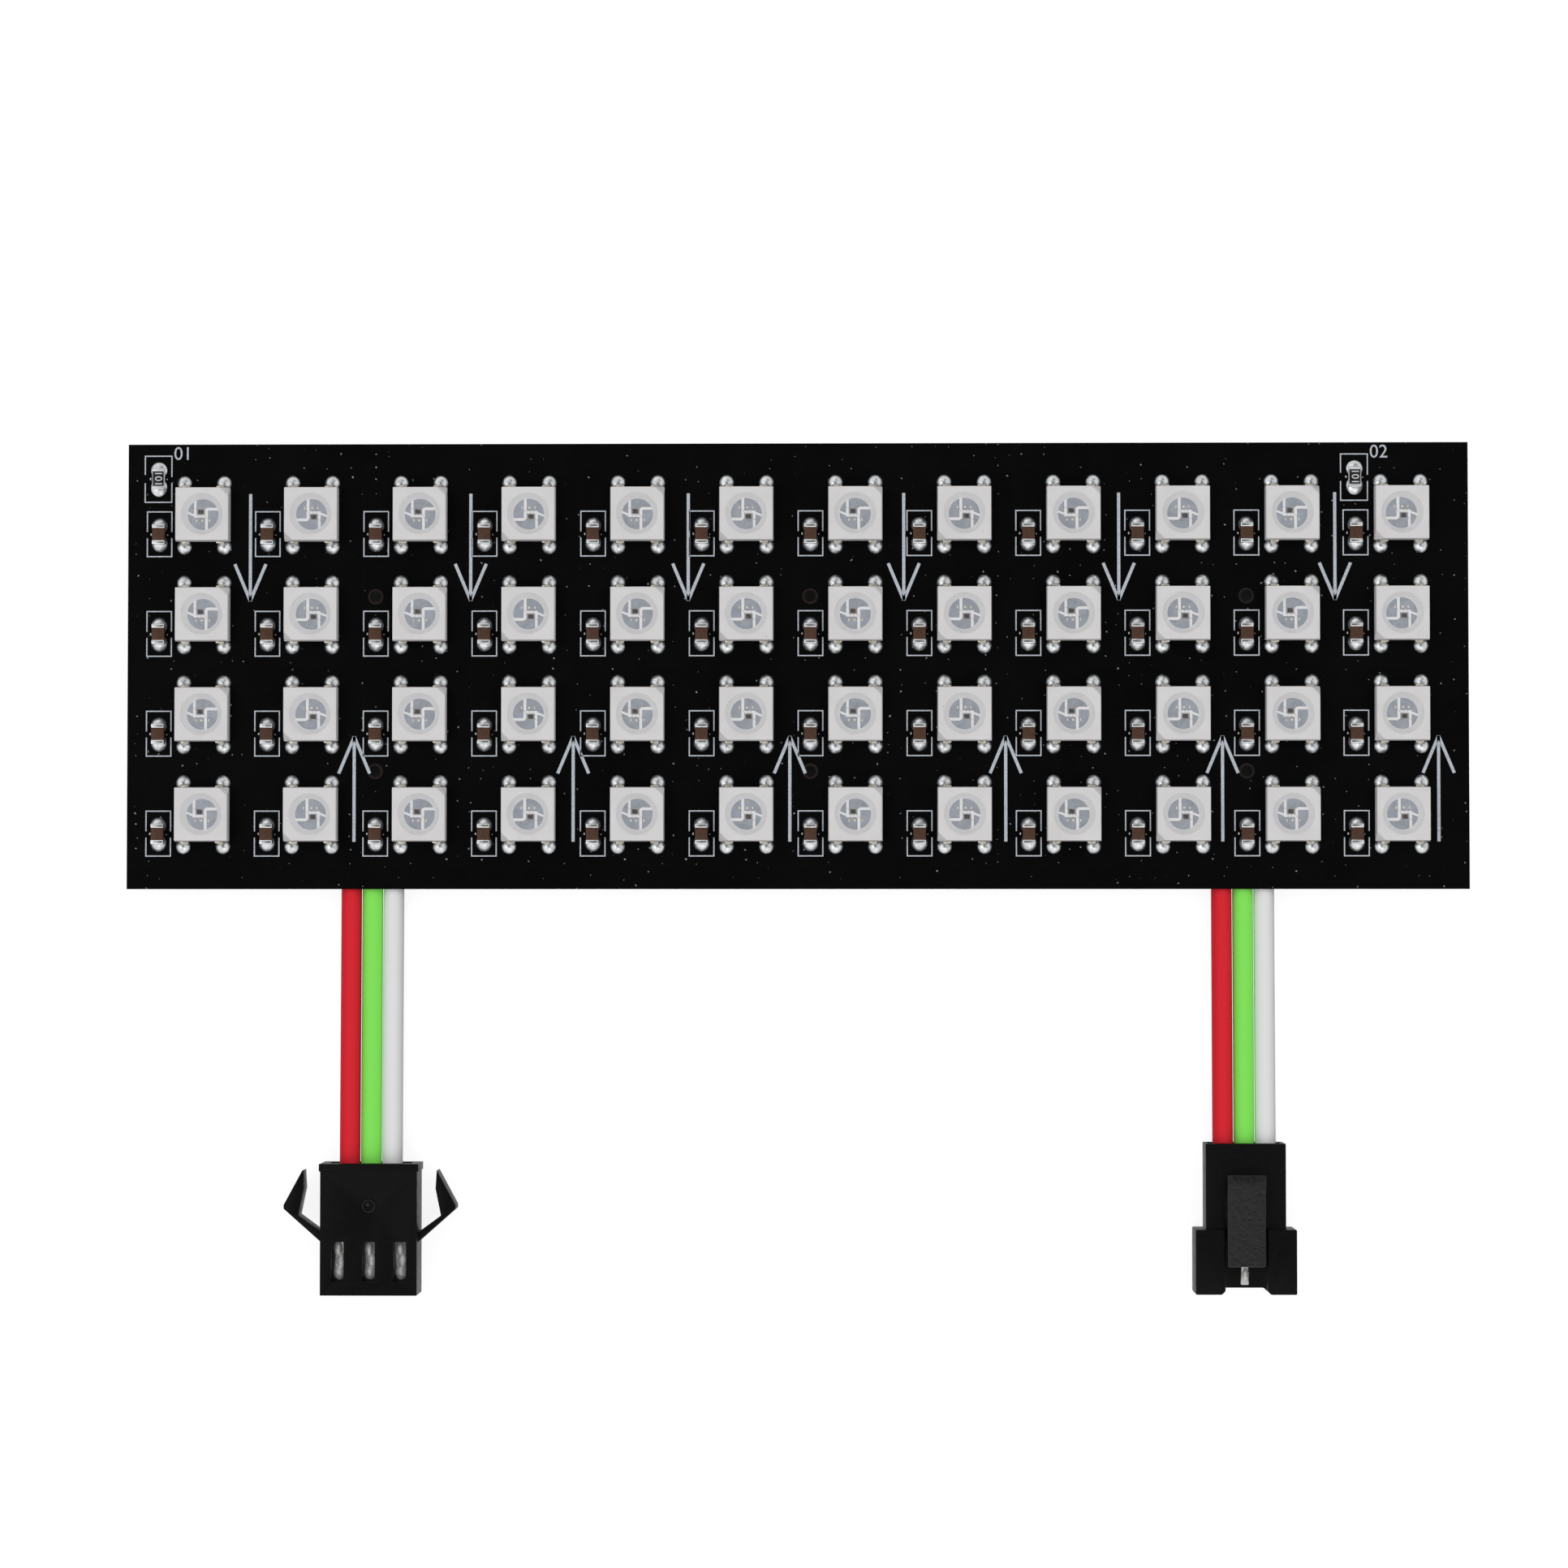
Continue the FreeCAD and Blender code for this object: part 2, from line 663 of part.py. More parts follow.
os.makedirs("parts", exist_ok=True)
for obj in sub_parts():
    obj.Shape.exportStep(f"parts/{obj.Label}.step")
    print(f"{obj.Label}: {len(obj.Shape.Solids)} solids, {obj.Shape.Volume:.2f} cubic mm")
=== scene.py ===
# %% [markdown]
# # An RGB LED matrix panel
# A thin black circuit board carries four rows of twelve square white LED packages, and two leads
# of three wires leave from under its lower edge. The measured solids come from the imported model.
# This script gives them the shapes and finishes that the eye meets: rounded edges, solder, ink,
# leadframes, wires and grained nylon.

# %% The frame that everything is fitted to
import math

import bmesh
import bpy
from mathutils import Matrix, Vector


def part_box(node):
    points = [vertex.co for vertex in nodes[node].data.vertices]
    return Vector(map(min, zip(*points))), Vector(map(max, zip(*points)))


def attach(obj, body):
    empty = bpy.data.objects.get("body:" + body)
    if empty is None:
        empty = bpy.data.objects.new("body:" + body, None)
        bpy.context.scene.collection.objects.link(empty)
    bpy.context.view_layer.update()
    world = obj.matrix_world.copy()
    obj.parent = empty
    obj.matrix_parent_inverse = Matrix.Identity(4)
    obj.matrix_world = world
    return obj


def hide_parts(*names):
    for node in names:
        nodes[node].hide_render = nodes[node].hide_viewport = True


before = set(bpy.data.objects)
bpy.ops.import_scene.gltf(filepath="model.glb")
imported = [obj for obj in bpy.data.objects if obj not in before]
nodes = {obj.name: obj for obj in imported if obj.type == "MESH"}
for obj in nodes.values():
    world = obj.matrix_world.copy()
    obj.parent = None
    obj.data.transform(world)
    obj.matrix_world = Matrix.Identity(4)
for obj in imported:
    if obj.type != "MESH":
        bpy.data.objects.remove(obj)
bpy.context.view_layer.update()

MM = 0.001

# %% [markdown]
# The board and the LED grid are read from the solids, so that nothing here has to be measured
# twice. The first LED's centre is half a package in from the left end of its row, and the rows
# are the middles of their own solids.

# %% Places read from the solids
ROWS = (1, 2, 3, 4)
COLUMNS = 12
COLUMN_PITCH = 10.0 * MM
LED_SIDE = 5.0 * MM
board_low, board_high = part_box("flex_board")
BOARD_TOP = board_high.z


def middle_of(node):
    """The middle of a node's box."""
    low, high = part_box(node)
    return (low + high) / 2


FIRST_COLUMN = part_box("led_housings_row_1")[0].x + LED_SIDE / 2
LAST_COLUMN = FIRST_COLUMN + (COLUMNS - 1) * COLUMN_PITCH
row_y = {row: middle_of(f"led_housings_row_{row}").y for row in ROWS}
ROW_PITCH = row_y[1] - row_y[2]
print("first column", round(FIRST_COLUMN / MM, 2), "row pitch", round(ROW_PITCH / MM, 2))

# %% [markdown]
# ## Camera, light and floor
# The photograph looks straight down on the panel from about 40 cm. A long lens far away keeps
# the packages square, and its small offset shows a little of their lower sides, as there.

# %% The camera
CAMERA_PLACE = (6 * MM, -24 * MM, 400 * MM)
CAMERA_AIM = Vector((-1.15, -10.83, 2.0)) * MM
LENS = 99.4

bpy.ops.object.camera_add(location=CAMERA_PLACE)
camera = bpy.context.object
camera.name = "camera"
back = (camera.location - CAMERA_AIM).normalized()
side = Vector((0, 1, 0)).cross(back).normalized()
camera.rotation_euler = Matrix((side, back.cross(side), back)).transposed().to_euler()
camera.data.lens = LENS
camera.data.sensor_width = 36
camera.data.clip_start = 0.01
camera.data.clip_end = 10
bpy.context.scene.camera = camera
print("camera is", round(camera.location.z, 3), "m above the floor")

# %% [markdown]
# Four large lamps stand round the panel, a bit more than halfway up. They are nearly equal, so
# that every package casts the same faint shadows to all sides.

# %% The lamps
LAMP_DISTANCE = 0.55
LAMP_SIZE = 0.4
LAMP_ELEVATION = math.radians(54)
LAMP_POWERS = {20: 0.36, 110: 0.33, 200: 0.38, 290: 0.34}

for turn, power in LAMP_POWERS.items():
    flat = math.cos(LAMP_ELEVATION) * LAMP_DISTANCE
    place = Vector(
        (
            flat * math.cos(math.radians(turn)),
            flat * math.sin(math.radians(turn)),
            math.sin(LAMP_ELEVATION) * LAMP_DISTANCE,
        )
    )
    bpy.ops.object.light_add(type="AREA", location=place)
    lamp = bpy.context.object
    lamp.name = f"softbox_{turn}"
    lamp.data.shape = "SQUARE"
    lamp.data.size = LAMP_SIZE
    lamp.data.energy = power
    lamp.rotation_euler = (-place).to_track_quat("-Z", "Y").to_euler()
print("lamps:", len(LAMP_POWERS))

# %% [markdown]
# The world gives soft light from overhead, and less of it from the sides. What shows in a mirror
# is another thing: a room that is white all round but dark overhead, round the camera. So the
# black board stays black, while every domed solder joint shows bright sides and a dark middle.
# One function adds a node with its settings and links, here and in every finish.

# %% Adding a node, and the world
HORIZON_LIGHT = 0.02
OVERHEAD_LIGHT = 0.78
DARK_CEILING = 0.05
DARKEST_WAY = (0.15, 0.22, 0.964)
# How nearly a direction has to point the darkest way for the ceiling to begin, and to be full.
CEILING_BEGINS, CEILING_FULL = 0.55, 0.88


def add_node(tree, kind, values=None, **settings):
    """Adds one node, with its own options and what goes into its inputs: numbers or sockets."""
    made = tree.nodes.new(kind)
    for name, value in settings.items():
        setattr(made, name, value)
    for name, value in (values or {}).items():
        if isinstance(value, bpy.types.NodeSocket):
            tree.links.new(value, made.inputs[name])
        else:
            made.inputs[name].default_value = value
    return made


def seen_directly(tree):
    """1 for the rays that show the background: to the camera, in a mirror or through glass."""
    rays = add_node(tree, "ShaderNodeLightPath").outputs
    seen = rays["Is Camera Ray"]
    for kind in ("Is Glossy Ray", "Is Transmission Ray"):
        either = add_node(tree, "ShaderNodeMath", {0: seen, 1: rays[kind]}, operation="MAXIMUM")
        seen = either.outputs[0]
    return seen


world = bpy.data.worlds.new("pale_room")
bpy.context.scene.world = world
world.use_nodes = True
tree = world.node_tree
tree.nodes.clear()
direction = add_node(tree, "ShaderNodeTexCoord").outputs["Generated"]
upward = add_node(tree, "ShaderNodeSeparateXYZ", {"Vector": direction}).outputs["Z"]
ceiling = add_node(
    tree, "ShaderNodeVectorMath", {0: direction, 1: DARKEST_WAY}, operation="DOT_PRODUCT"
)
room = add_node(
    tree,
    "ShaderNodeMapRange",
    {
        "Value": ceiling.outputs["Value"],
        "From Min": CEILING_BEGINS,
        "From Max": CEILING_FULL,
        "To Min": 1.0,
        "To Max": DARK_CEILING,
    },
)
soft_light = add_node(
    tree,
    "ShaderNodeMapRange",
    {"Value": upward, "To Min": HORIZON_LIGHT, "To Max": OVERHEAD_LIGHT},
)
strength = add_node(
    tree,
    "ShaderNodeMix",
    {0: seen_directly(tree), 2: soft_light.outputs["Result"], 3: room.outputs["Result"]},
    data_type="FLOAT",
)
background = add_node(
    tree, "ShaderNodeBackground", {"Color": (1, 1, 1, 1), "Strength": strength.outputs[0]}
)
add_node(tree, "ShaderNodeOutputWorld", {"Surface": background.outputs[0]})
print("overhead light", OVERHEAD_LIGHT)

# %% [markdown]
# The floor is a plain pale sheet. Seen directly it gives a little light of its own, which lifts
# it to white where no shadow falls, and the soft shadow of the panel stays on it. Under the board
# that light fades out from the edges inward, so that the board's small holes look dark.

# %% The floor
FLOOR_SIZE = 6
FLOOR_GREY = 0.25
FLOOR_GLOW = 0.86
GLOW_FADE = 9 * MM

bpy.ops.mesh.primitive_plane_add(size=FLOOR_SIZE, location=(0, 0, 0))
floor = bpy.context.object
floor.name = "floor"
paper = bpy.data.materials.new("pale_paper")
paper.use_nodes = True
tree = paper.node_tree
tree.nodes.clear()
place = add_node(tree, "ShaderNodeTexCoord").outputs["Object"]
spot = add_node(tree, "ShaderNodeSeparateXYZ", {"Vector": place}).outputs


def cover(tree, value, low, high):
    """0 outside a stretch and at its ends, 1 from the fade's length inside it."""
    off = add_node(tree, "ShaderNodeMath", {0: value, 1: (low + high) / 2}, operation="SUBTRACT")
    far = add_node(tree, "ShaderNodeMath", {0: off.outputs[0]}, operation="ABSOLUTE")
    half = (high - low) / 2
    return add_node(
        tree,
        "ShaderNodeMapRange",
        {
            "Value": far.outputs[0],
            "From Min": half,
            "From Max": half - GLOW_FADE,
            "To Min": 0.0,
            "To Max": 1.0,
        },
        interpolation_type="SMOOTHSTEP",
    ).outputs["Result"]


across = cover(tree, spot["X"], board_low.x, board_high.x)
along = cover(tree, spot["Y"], board_low.y, board_high.y)
covered = add_node(tree, "ShaderNodeMath", {0: across, 1: along}, operation="MULTIPLY")
bare = add_node(tree, "ShaderNodeMath", {0: 1.0, 1: covered.outputs[0]}, operation="SUBTRACT")
shown = add_node(
    tree, "ShaderNodeMath", {0: seen_directly(tree), 1: bare.outputs[0]}, operation="MULTIPLY"
)
level = add_node(
    tree, "ShaderNodeMath", {0: shown.outputs[0], 1: FLOOR_GLOW}, operation="MULTIPLY"
)
glow = add_node(
    tree, "ShaderNodeEmission", {"Color": (1, 1, 1, 1), "Strength": level.outputs[0]}
)
matt = add_node(tree, "ShaderNodeBsdfDiffuse", {"Color": (FLOOR_GREY,) * 3 + (1,)})
both = add_node(tree, "ShaderNodeAddShader", {0: matt.outputs[0], 1: glow.outputs[0]})
add_node(tree, "ShaderNodeOutputMaterial", {"Surface": both.outputs[0]})
floor.data.materials.append(paper)

bpy.context.scene.view_settings.view_transform = "Standard"
print("floor glow", FLOOR_GLOW)

# %% [markdown]
# ## Helpers for modelling
# Each piece starts from a primitive whose coordinates are made the scene's own at once. Faces and
# edges are then picked by where they are, as one would click them, and worked on by operators.

# %% Adding and picking


def only(piece):
    """Makes one object the only selected and the active one."""
    bpy.ops.object.select_all(action="DESELECT")
    piece.select_set(True)
    bpy.context.view_layer.objects.active = piece


def settle(piece):
    """Moves an object's place, turn and scale into its mesh."""
    only(piece)
    bpy.ops.object.transform_apply(location=True, rotation=True, scale=True)


def add(kind, **place):
    """A new primitive whose mesh has the scene's coordinates."""
    bpy.ops.object.select_all(action="DESELECT")
    getattr(bpy.ops.mesh, f"primitive_{kind}_add")(**place)
    piece = bpy.context.object
    settle(piece)
    return piece


def block(low, high):
    """A box between two corners, in millimetres."""
    low, high = Vector(low) * MM, Vector(high) * MM
    return add("cube", size=1, scale=high - low, location=(low + high) / 2)


def edit(piece):
    """Opens a piece for editing, with all of it selected."""
    only(piece)
    bpy.ops.object.mode_set(mode="EDIT")
    bpy.ops.mesh.select_mode(type="VERT")
    bpy.ops.mesh.select_all(action="SELECT")


def leave():
    """Closes the piece that is being edited."""
    bpy.ops.object.mode_set(mode="OBJECT")


def pick(piece, kind, test):
    """In edit mode, selects the edges or faces whose middle passes a test."""
    bpy.ops.mesh.select_mode(type={"edges": "EDGE", "faces": "FACE"}[kind])
    bpy.ops.mesh.select_all(action="DESELECT")
    mesh = bmesh.from_edit_mesh(piece.data)
    for element in getattr(mesh, kind):
        points = [vert.co for vert in element.verts]
        element.select_set(bool(test(sum(points, Vector()) / len(points))))
    bmesh.update_edit_mesh(piece.data)


def face_outwards(piece):
    """Turns every face of a closed piece to look outwards."""
    edit(piece)
    bpy.ops.mesh.normals_make_consistent(inside=False)
    leave()


print("picking helpers ready")

# %% [markdown]
# A few steps come back on nearly every piece: a modifier that is applied at once, edges that are
# rounded, a plane cut that is closed again, copies, and a second finish for some of the faces.

# %% Working on a piece
SHARP = math.radians(35)


def modify(piece, kind, **settings):
    """Adds a modifier and applies it."""
    only(piece)
    modifier = piece.modifiers.new(kind.title(), kind)
    for name, value in settings.items():
        setattr(modifier, name, value)
    bpy.ops.object.modifier_apply(modifier=modifier.name)
    return piece


def smooth(piece, angle):
    """Shades a piece smooth across the edges that are flatter than an angle."""
    only(piece)
    bpy.ops.object.shade_smooth_by_angle(angle=angle)
    return piece


def round_edges(piece, width, segments=2):
    """Rounds every sharp edge by a width in millimetres, and shades the piece smooth."""
    modify(
        piece,
        "BEVEL",
        width=width * MM,
        segments=segments,
        limit_method="ANGLE",
        angle_limit=SHARP,
        use_clamp_overlap=True,
    )
    return smooth(piece, SHARP)


def cut(piece, point, normal):
    """Cuts away what lies beyond a plane, and closes the cut. The point is in millimetres."""
    edit(piece)
    bpy.ops.mesh.bisect(
        plane_co=Vector(point) * MM,
        plane_no=normal,
        use_fill=True,
        clear_outer=True,
        threshold=1e-7,
    )
    leave()
    return piece


def join(pieces):
    """Makes one object of several."""
    only(pieces[0])
    for piece in pieces:
        piece.select_set(True)
    bpy.ops.object.join()
    return bpy.context.object


def copy_of(piece, offset=(0, 0, 0), half_turn=False):
    """A copy with its own mesh, moved by an offset and turned half round first if asked."""
    only(piece)
    bpy.ops.object.duplicate()
    made = bpy.context.object
    if half_turn:
        made.rotation_euler.z = math.pi
    made.location = Vector(offset)
    settle(made)
    return made


def move(piece, offset):
    """Moves a piece's mesh by an offset."""
    piece.location = Vector(offset)
    settle(piece)
    return piece


def finish_faces(piece, finish, test):
    """Gives the faces whose middle passes a test a finish of their own."""
    piece.data.materials.append(finish)
    edit(piece)
    pick(piece, "faces", test)
    piece.active_material_index = len(piece.data.materials) - 1
    bpy.ops.object.material_slot_assign()
    leave()


def strip(points, width, height, low=0.0):
    """A flat bar along a drawn line, in millimetres: drawn up into a wall, then thickened."""
    mesh = bpy.data.meshes.new("strip")
    ends = [(i, i + 1) for i in range(len(points) - 1)]
    mesh.from_pydata([(x * MM, y * MM, low * MM) for x, y in points], ends, [])
    piece = bpy.data.objects.new("strip", mesh)
    bpy.context.scene.collection.objects.link(piece)
    edit(piece)
    bpy.ops.mesh.extrude_region_move(TRANSFORM_OT_translate={"value": (0, 0, height * MM)})
    leave()
    modify(piece, "SOLIDIFY", thickness=width * MM, offset=0, use_even_offset=True)
    face_outwards(piece)
    return piece


print("working helpers ready")

# %% [markdown]
# A finished piece is told its name and finish, the body it rides on, and the measured solids
# that it stands for. What belongs to an LED is modelled once and laid over the grid, one piece to
# a row. Every second package is turned half round, as on the real panel.

# %% Finishing a piece, and laying one over the grid


def hang(piece, name, finish, stands_for=()):
    """Finishes a piece. With no finish given, it keeps the ones that it has."""
    settle(piece)
    piece.name = name
    piece.data.name = name
    if finish is not None:
        piece.data.materials.clear()
        piece.data.materials.append(finish)
    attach(piece, "root")
    if stands_for:
        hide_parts(*stands_for)
    return piece


def over_the_grid(one, name, finish, turned=True, dresses=False):
    """Lays a thing over all 48 LEDs, a piece to a row, which may dress that row's solid."""
    pair = join([one, copy_of(one, (COLUMN_PITCH, 0, 0), half_turn=turned)])
    modify(
        pair,
        "ARRAY",
        count=COLUMNS // 2,
        use_relative_offset=False,
        use_constant_offset=True,
        constant_offset_displace=(2 * COLUMN_PITCH, 0, 0),
    )
    for row in ROWS:
        node = f"{name}_row_{row}"
        piece = copy_of(pair, (FIRST_COLUMN, row_y[row], BOARD_TOP))
        if dresses:
            hang(piece, f"{node}_dressed", finish, [node])
        else:
            hang(piece, node, finish)
    print(f"{name}: {len(pair.data.polygons)} faces to a row")
    bpy.data.objects.remove(pair)


print("finishing helpers ready")

# %% [markdown]
# ## Helpers for finishes
# Colours are written as the sRGB codes one would pick off the photograph, and one function turns
# them to the linear values that the shader needs. No real surface is even, so a few more let the
# colour, the gloss and the height of a finish vary in patches, and scatter small dots on it.

# %% Colours, and what varies over a surface


def tint(code):
    """The linear colour of an sRGB hex code."""
    parts = [int(code[i : i + 2], 16) / 255 for i in (1, 3, 5)]
    return [p / 12.92 if p <= 0.04045 else ((p + 0.055) / 1.055) ** 2.4 for p in parts] + [1.0]


def new_finish(name, colour, roughness, metallic=0.0, **sockets):
    """A new finish with its plain values set on the shader. Returns its material and tree."""
    material = bpy.data.materials.new(name)
    material.use_nodes = True
    tree = material.node_tree
    shader = tree.nodes["Principled BSDF"]
    values = {"Base Color": tint(colour), "Roughness": roughness, "Metallic": metallic, **sockets}
    for socket, value in values.items():
        shader.inputs[socket].default_value = value
    return material, tree


def vary(tree, socket, node, output):
    """Lets the output of a node drive one of the finish's own sockets."""
    tree.links.new(node.outputs[output], tree.nodes["Principled BSDF"].inputs[socket])
    return node.outputs[output]


def patches(tree, size, detail):
    """Patches of a size in millimetres, laid over the piece where it stands."""
    place = add_node(tree, "ShaderNodeTexCoord").outputs["Object"]
    values = {"Vector": place, "Scale": 1 / (size * MM), "Detail": detail}
    return add_node(tree, "ShaderNodeTexNoise", values).outputs["Fac"]


def mottle(tree, size, low, high, detail=2.0):
    """Lets the colour drift. Low and high are each a place in the pattern and an sRGB code."""
    colours = add_node(tree, "ShaderNodeValToRGB", {"Fac": patches(tree, size, detail)})
    for element, (position, code) in zip(colours.color_ramp.elements, (low, high)):
        element.position = position
        element.color = tint(code)
    return vary(tree, "Base Color", colours, "Color")


def uneven_gloss(tree, size, low, high):
    """Lets the roughness drift between two values."""
    values = {"Value": patches(tree, size, 2.0), "To Min": low, "To Max": high}
    return vary(tree, "Roughness", add_node(tree, "ShaderNodeMapRange", values), "Result")


def emboss(tree, size, depth, detail=2.0):
    """Lets the surface rise and fall by a depth in millimetres."""
    values = {"Height": patches(tree, size, detail), "Distance": depth * MM}
    return vary(tree, "Normal", add_node(tree, "ShaderNodeBump", values), "Normal")



def scatter(tree, under, cells, radius, rarity, code):
    """Lays a dot in the rarer cells of a cell pattern. The radius is a share of a cell's width."""
    chance = add_node(tree, "ShaderNodeSeparateColor", {"Color": cells["Color"]}).outputs["Red"]
    near = add_node(
        tree, "ShaderNodeMath", {0: cells["Distance"], 1: radius}, operation="LESS_THAN"
    )
    rare = add_node(tree, "ShaderNodeMath", {0: chance, 1: rarity}, operation="GREATER_THAN")
    dot = add_node(
        tree, "ShaderNodeMath", {0: near.outputs[0], 1: rare.outputs[0]}, operation="MULTIPLY"
    )
    values = {0: dot.outputs[0], 6: under, 7: tint(code)}
    return vary(tree, "Base Color", add_node(tree, "ShaderNodeMix", values, data_type="RGBA"), 2)


print("finish helpers ready")

# %% [markdown]
# ## The leads
# Each lead is three separate wires of flexible PVC insulation over stranded copper, pulled
# straight from the solder joints under the board into a connector. They are made before the
# rest, because the object's size depends on its cords.

# %% The finish of the insulation
WIRE_COLOURS = {"red": "#E22533", "green": "#8AF061", "white": "#EDEDEE"}
insulation = {}
for colour, code in WIRE_COLOURS.items():
    material, tree = new_finish(
        f"flexible_pvc_{colour}", code, 0.5, **{"Specular IOR Level": 0.12}
    )
    # Extruded insulation is smooth and a little waxy, with faint waves a millimetre or two apart.
    emboss(tree, 1.4, 0.02, detail=1.0)
    uneven_gloss(tree, 0.4, 0.42, 0.56)
    insulation[colour] = material
print("insulation finishes:", list(insulation))

# %% [markdown]
# A smooth curve with a round bevel is a wire. It runs straight to its connector, and under the
# board the red and the green one bow aside by most of a wire's width, clear of the small hole
# above them.

# %% The wires
WIRE_DIAMETER = 1.9 * MM
WIRE_START = (1.95 * MM, 0.95 * MM)
HOUSING_MIDDLE = 2.3 * MM
LEADS = {
    "input": {"wires": (-41.0, -39.05, -37.1), "end": -47.6, "housing": "input_plug_housing"},
    "output": {"wires": (39.0, 40.95, 42.9), "end": -45.7, "housing": "output_socket_housing"},
}
BOWS = {"red": -1.5 * MM, "green": -1.35 * MM, "white": 0.0}
# Places along the lead, and how much of its bow a wire has there.
BOW_STATIONS = ((-1.5, 0), (-6.5, 1), (-12.9, 1), (-18.0, 0), (-23.0, 0))
for name, lead in LEADS.items():
    for colour, x in zip(WIRE_COLOURS, lead["wires"]):
        start = Vector((x * MM, *WIRE_START))
        end = Vector((x * MM, lead["end"] * MM, HOUSING_MIDDLE))
        spots = [start]
        for y, share in BOW_STATIONS:
            spot = start.lerp(end, (y * MM - start.y) / (end.y - start.y))
            spots.append(spot + Vector((BOWS[colour] * share, 0, 0)))
        spots.append(end)
        curve = bpy.data.curves.new(f"{name}_wire_{colour}_dressed", "CURVE")
        curve.dimensions = "3D"
        spline = curve.splines.new("NURBS")
        spline.points.add(len(spots) - 1)
        for point, spot in zip(spline.points, spots):
            point.co = (*spot, 1.0)
        spline.order_u = 3
        spline.use_endpoint_u = True
        curve.bevel_depth = WIRE_DIAMETER / 2
        curve.bevel_resolution = 6
        curve.use_fill_caps = True
        piece = bpy.data.objects.new(f"{name}_wire_{colour}_dressed", curve)
        bpy.context.scene.collection.objects.link(piece)
        piece.data.materials.append(insulation[colour])
        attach(piece, "root")
        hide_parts(f"{name}_wire_{colour}")

# %% [markdown]
# ## The LED packages
# The body is moulded white polyphthalamide, PPA, a nylon that takes soldering heat. Its skin is
# matt and a little cloudy, with a few tiny dark specks of scorched resin. The cup is polished in
# the mould, so its wall is smoother. It is also painted a shade whiter than the body: painted
# light that offsets the shade in the cup.

# %% White moulded body, finish
SPECK_SPACING = 0.9
SPECK_RADIUS = 0.045
SPECK_RARITY = 0.9
white_body, tree = new_finish("moulded_white_ppa", "#DEDCDD", 0.45)
# The mould's grain is some 0.05 mm in fact, and is drawn coarser so that it shows at all.
emboss(tree, 0.12, 0.004)
clouds = mottle(tree, 2.5, (0.3, "#DBD9D9"), (0.7, "#E2E0E1"), detail=3.0)
place = add_node(tree, "ShaderNodeTexCoord").outputs["Object"]
specks = add_node(
    tree, "ShaderNodeTexVoronoi", {"Vector": place, "Scale": 1 / (SPECK_SPACING * MM)}
).outputs
scatter(tree, clouds, specks, SPECK_RADIUS, SPECK_RARITY, "#7A6A58")
# The cup's finish is the body's moulding painted a shade lighter, as painted light against the
# shade.
cup_white_painted_lighter, tree = new_finish("polished_white_ppa_painted_lighter", "#EAE9EA", 0.3)
emboss(tree, 0.3, 0.003)
print("white body finishes ready")

# %% [markdown]
# The body is a 5 mm square with a round cup. Bridging a square outline to a round one gives a
# clean ring of faces for the top, and both loops are then drawn down: the outer into the sides,
# which lean a little either way from the parting line, the inner into the cup's wall. A plane
# cuts the facet that marks the package's polarity.

# %% White moulded body, shape
CUP_POINTS = 64
LED_TOP = 1.6
TOP_SIDE = 4.86
PARTING_SIDE = 5.0
PARTING_HEIGHT = 0.85
FOOT_SIDE = 4.9
CUP_MOUTH = 1.9
CUP_FLOOR = 1.43
CUP_DEPTH = 0.9
CUP_BOTTOM = LED_TOP - CUP_DEPTH
CUP_RIM = 0.05
FACET_LEG = 0.8
FACET_DROP = 0.4
NEAR = 1e-6

body = add("plane", size=TOP_SIDE * MM, location=(0, 0, LED_TOP * MM))
edit(body)
bpy.ops.mesh.delete(type="ONLY_FACE")
bpy.ops.mesh.select_all(action="SELECT")
bpy.ops.mesh.subdivide(number_cuts=CUP_POINTS // 4 - 1)
bpy.ops.mesh.primitive_circle_add(
    vertices=CUP_POINTS, radius=CUP_MOUTH * MM, location=(0, 0, LED_TOP * MM)
)
bpy.ops.mesh.select_all(action="SELECT")
bpy.ops.mesh.bridge_edge_loops()


def on_square(side, height):
    """A test for edges that lie on a square outline at a height."""
    half, level = side / 2 * MM, height * MM
    return lambda p: abs(max(abs(p.x), abs(p.y)) - half) < NEAR and abs(p.z - level) < NEAR


def on_circle(radius, height):
    """A test for edges that lie on a circle at a height."""
    reach, level = radius * math.cos(math.pi / CUP_POINTS) * MM, height * MM
    return lambda p: abs(math.hypot(p.x, p.y) - reach) < 2 * NEAR and abs(p.z - level) < NEAR


def draw_down(piece, test, drop, shrink):
    """Draws the picked edges straight down, and scales the new ones about the middle."""
    pick(piece, "edges", test)
    bpy.ops.mesh.extrude_region_move(TRANSFORM_OT_translate={"value": (0, 0, -drop * MM)})
    bpy.ops.transform.resize(value=(shrink, shrink, 1), center_override=(0, 0, 0))


draw_down(body, on_square(TOP_SIDE, LED_TOP), LED_TOP - PARTING_HEIGHT, PARTING_SIDE / TOP_SIDE)
draw_down(body, on_square(PARTING_SIDE, PARTING_HEIGHT), PARTING_HEIGHT, FOOT_SIDE / PARTING_SIDE)
bpy.ops.mesh.edge_face_add()
draw_down(body, on_circle(CUP_MOUTH, LED_TOP), CUP_DEPTH, CUP_FLOOR / CUP_MOUTH)
bpy.ops.mesh.edge_face_add()
leave()
face_outwards(body)
corner = TOP_SIDE / 2
cut(body, (corner - FACET_LEG, corner, LED_TOP), (1 / FACET_LEG, 1 / FACET_LEG, 1 / FACET_DROP))
round_edges(body, width=0.06)
body.data.materials.append(white_body)
# The faces inside the cup get the finish that is painted lighter.
cup_reach = (CUP_MOUTH - CUP_RIM) * MM
finish_faces(body, cup_white_painted_lighter, lambda p: math.hypot(p.x, p.y) < cup_reach and p.z > 0.1 * MM)
print("body faces:", len(body.data.polygons))

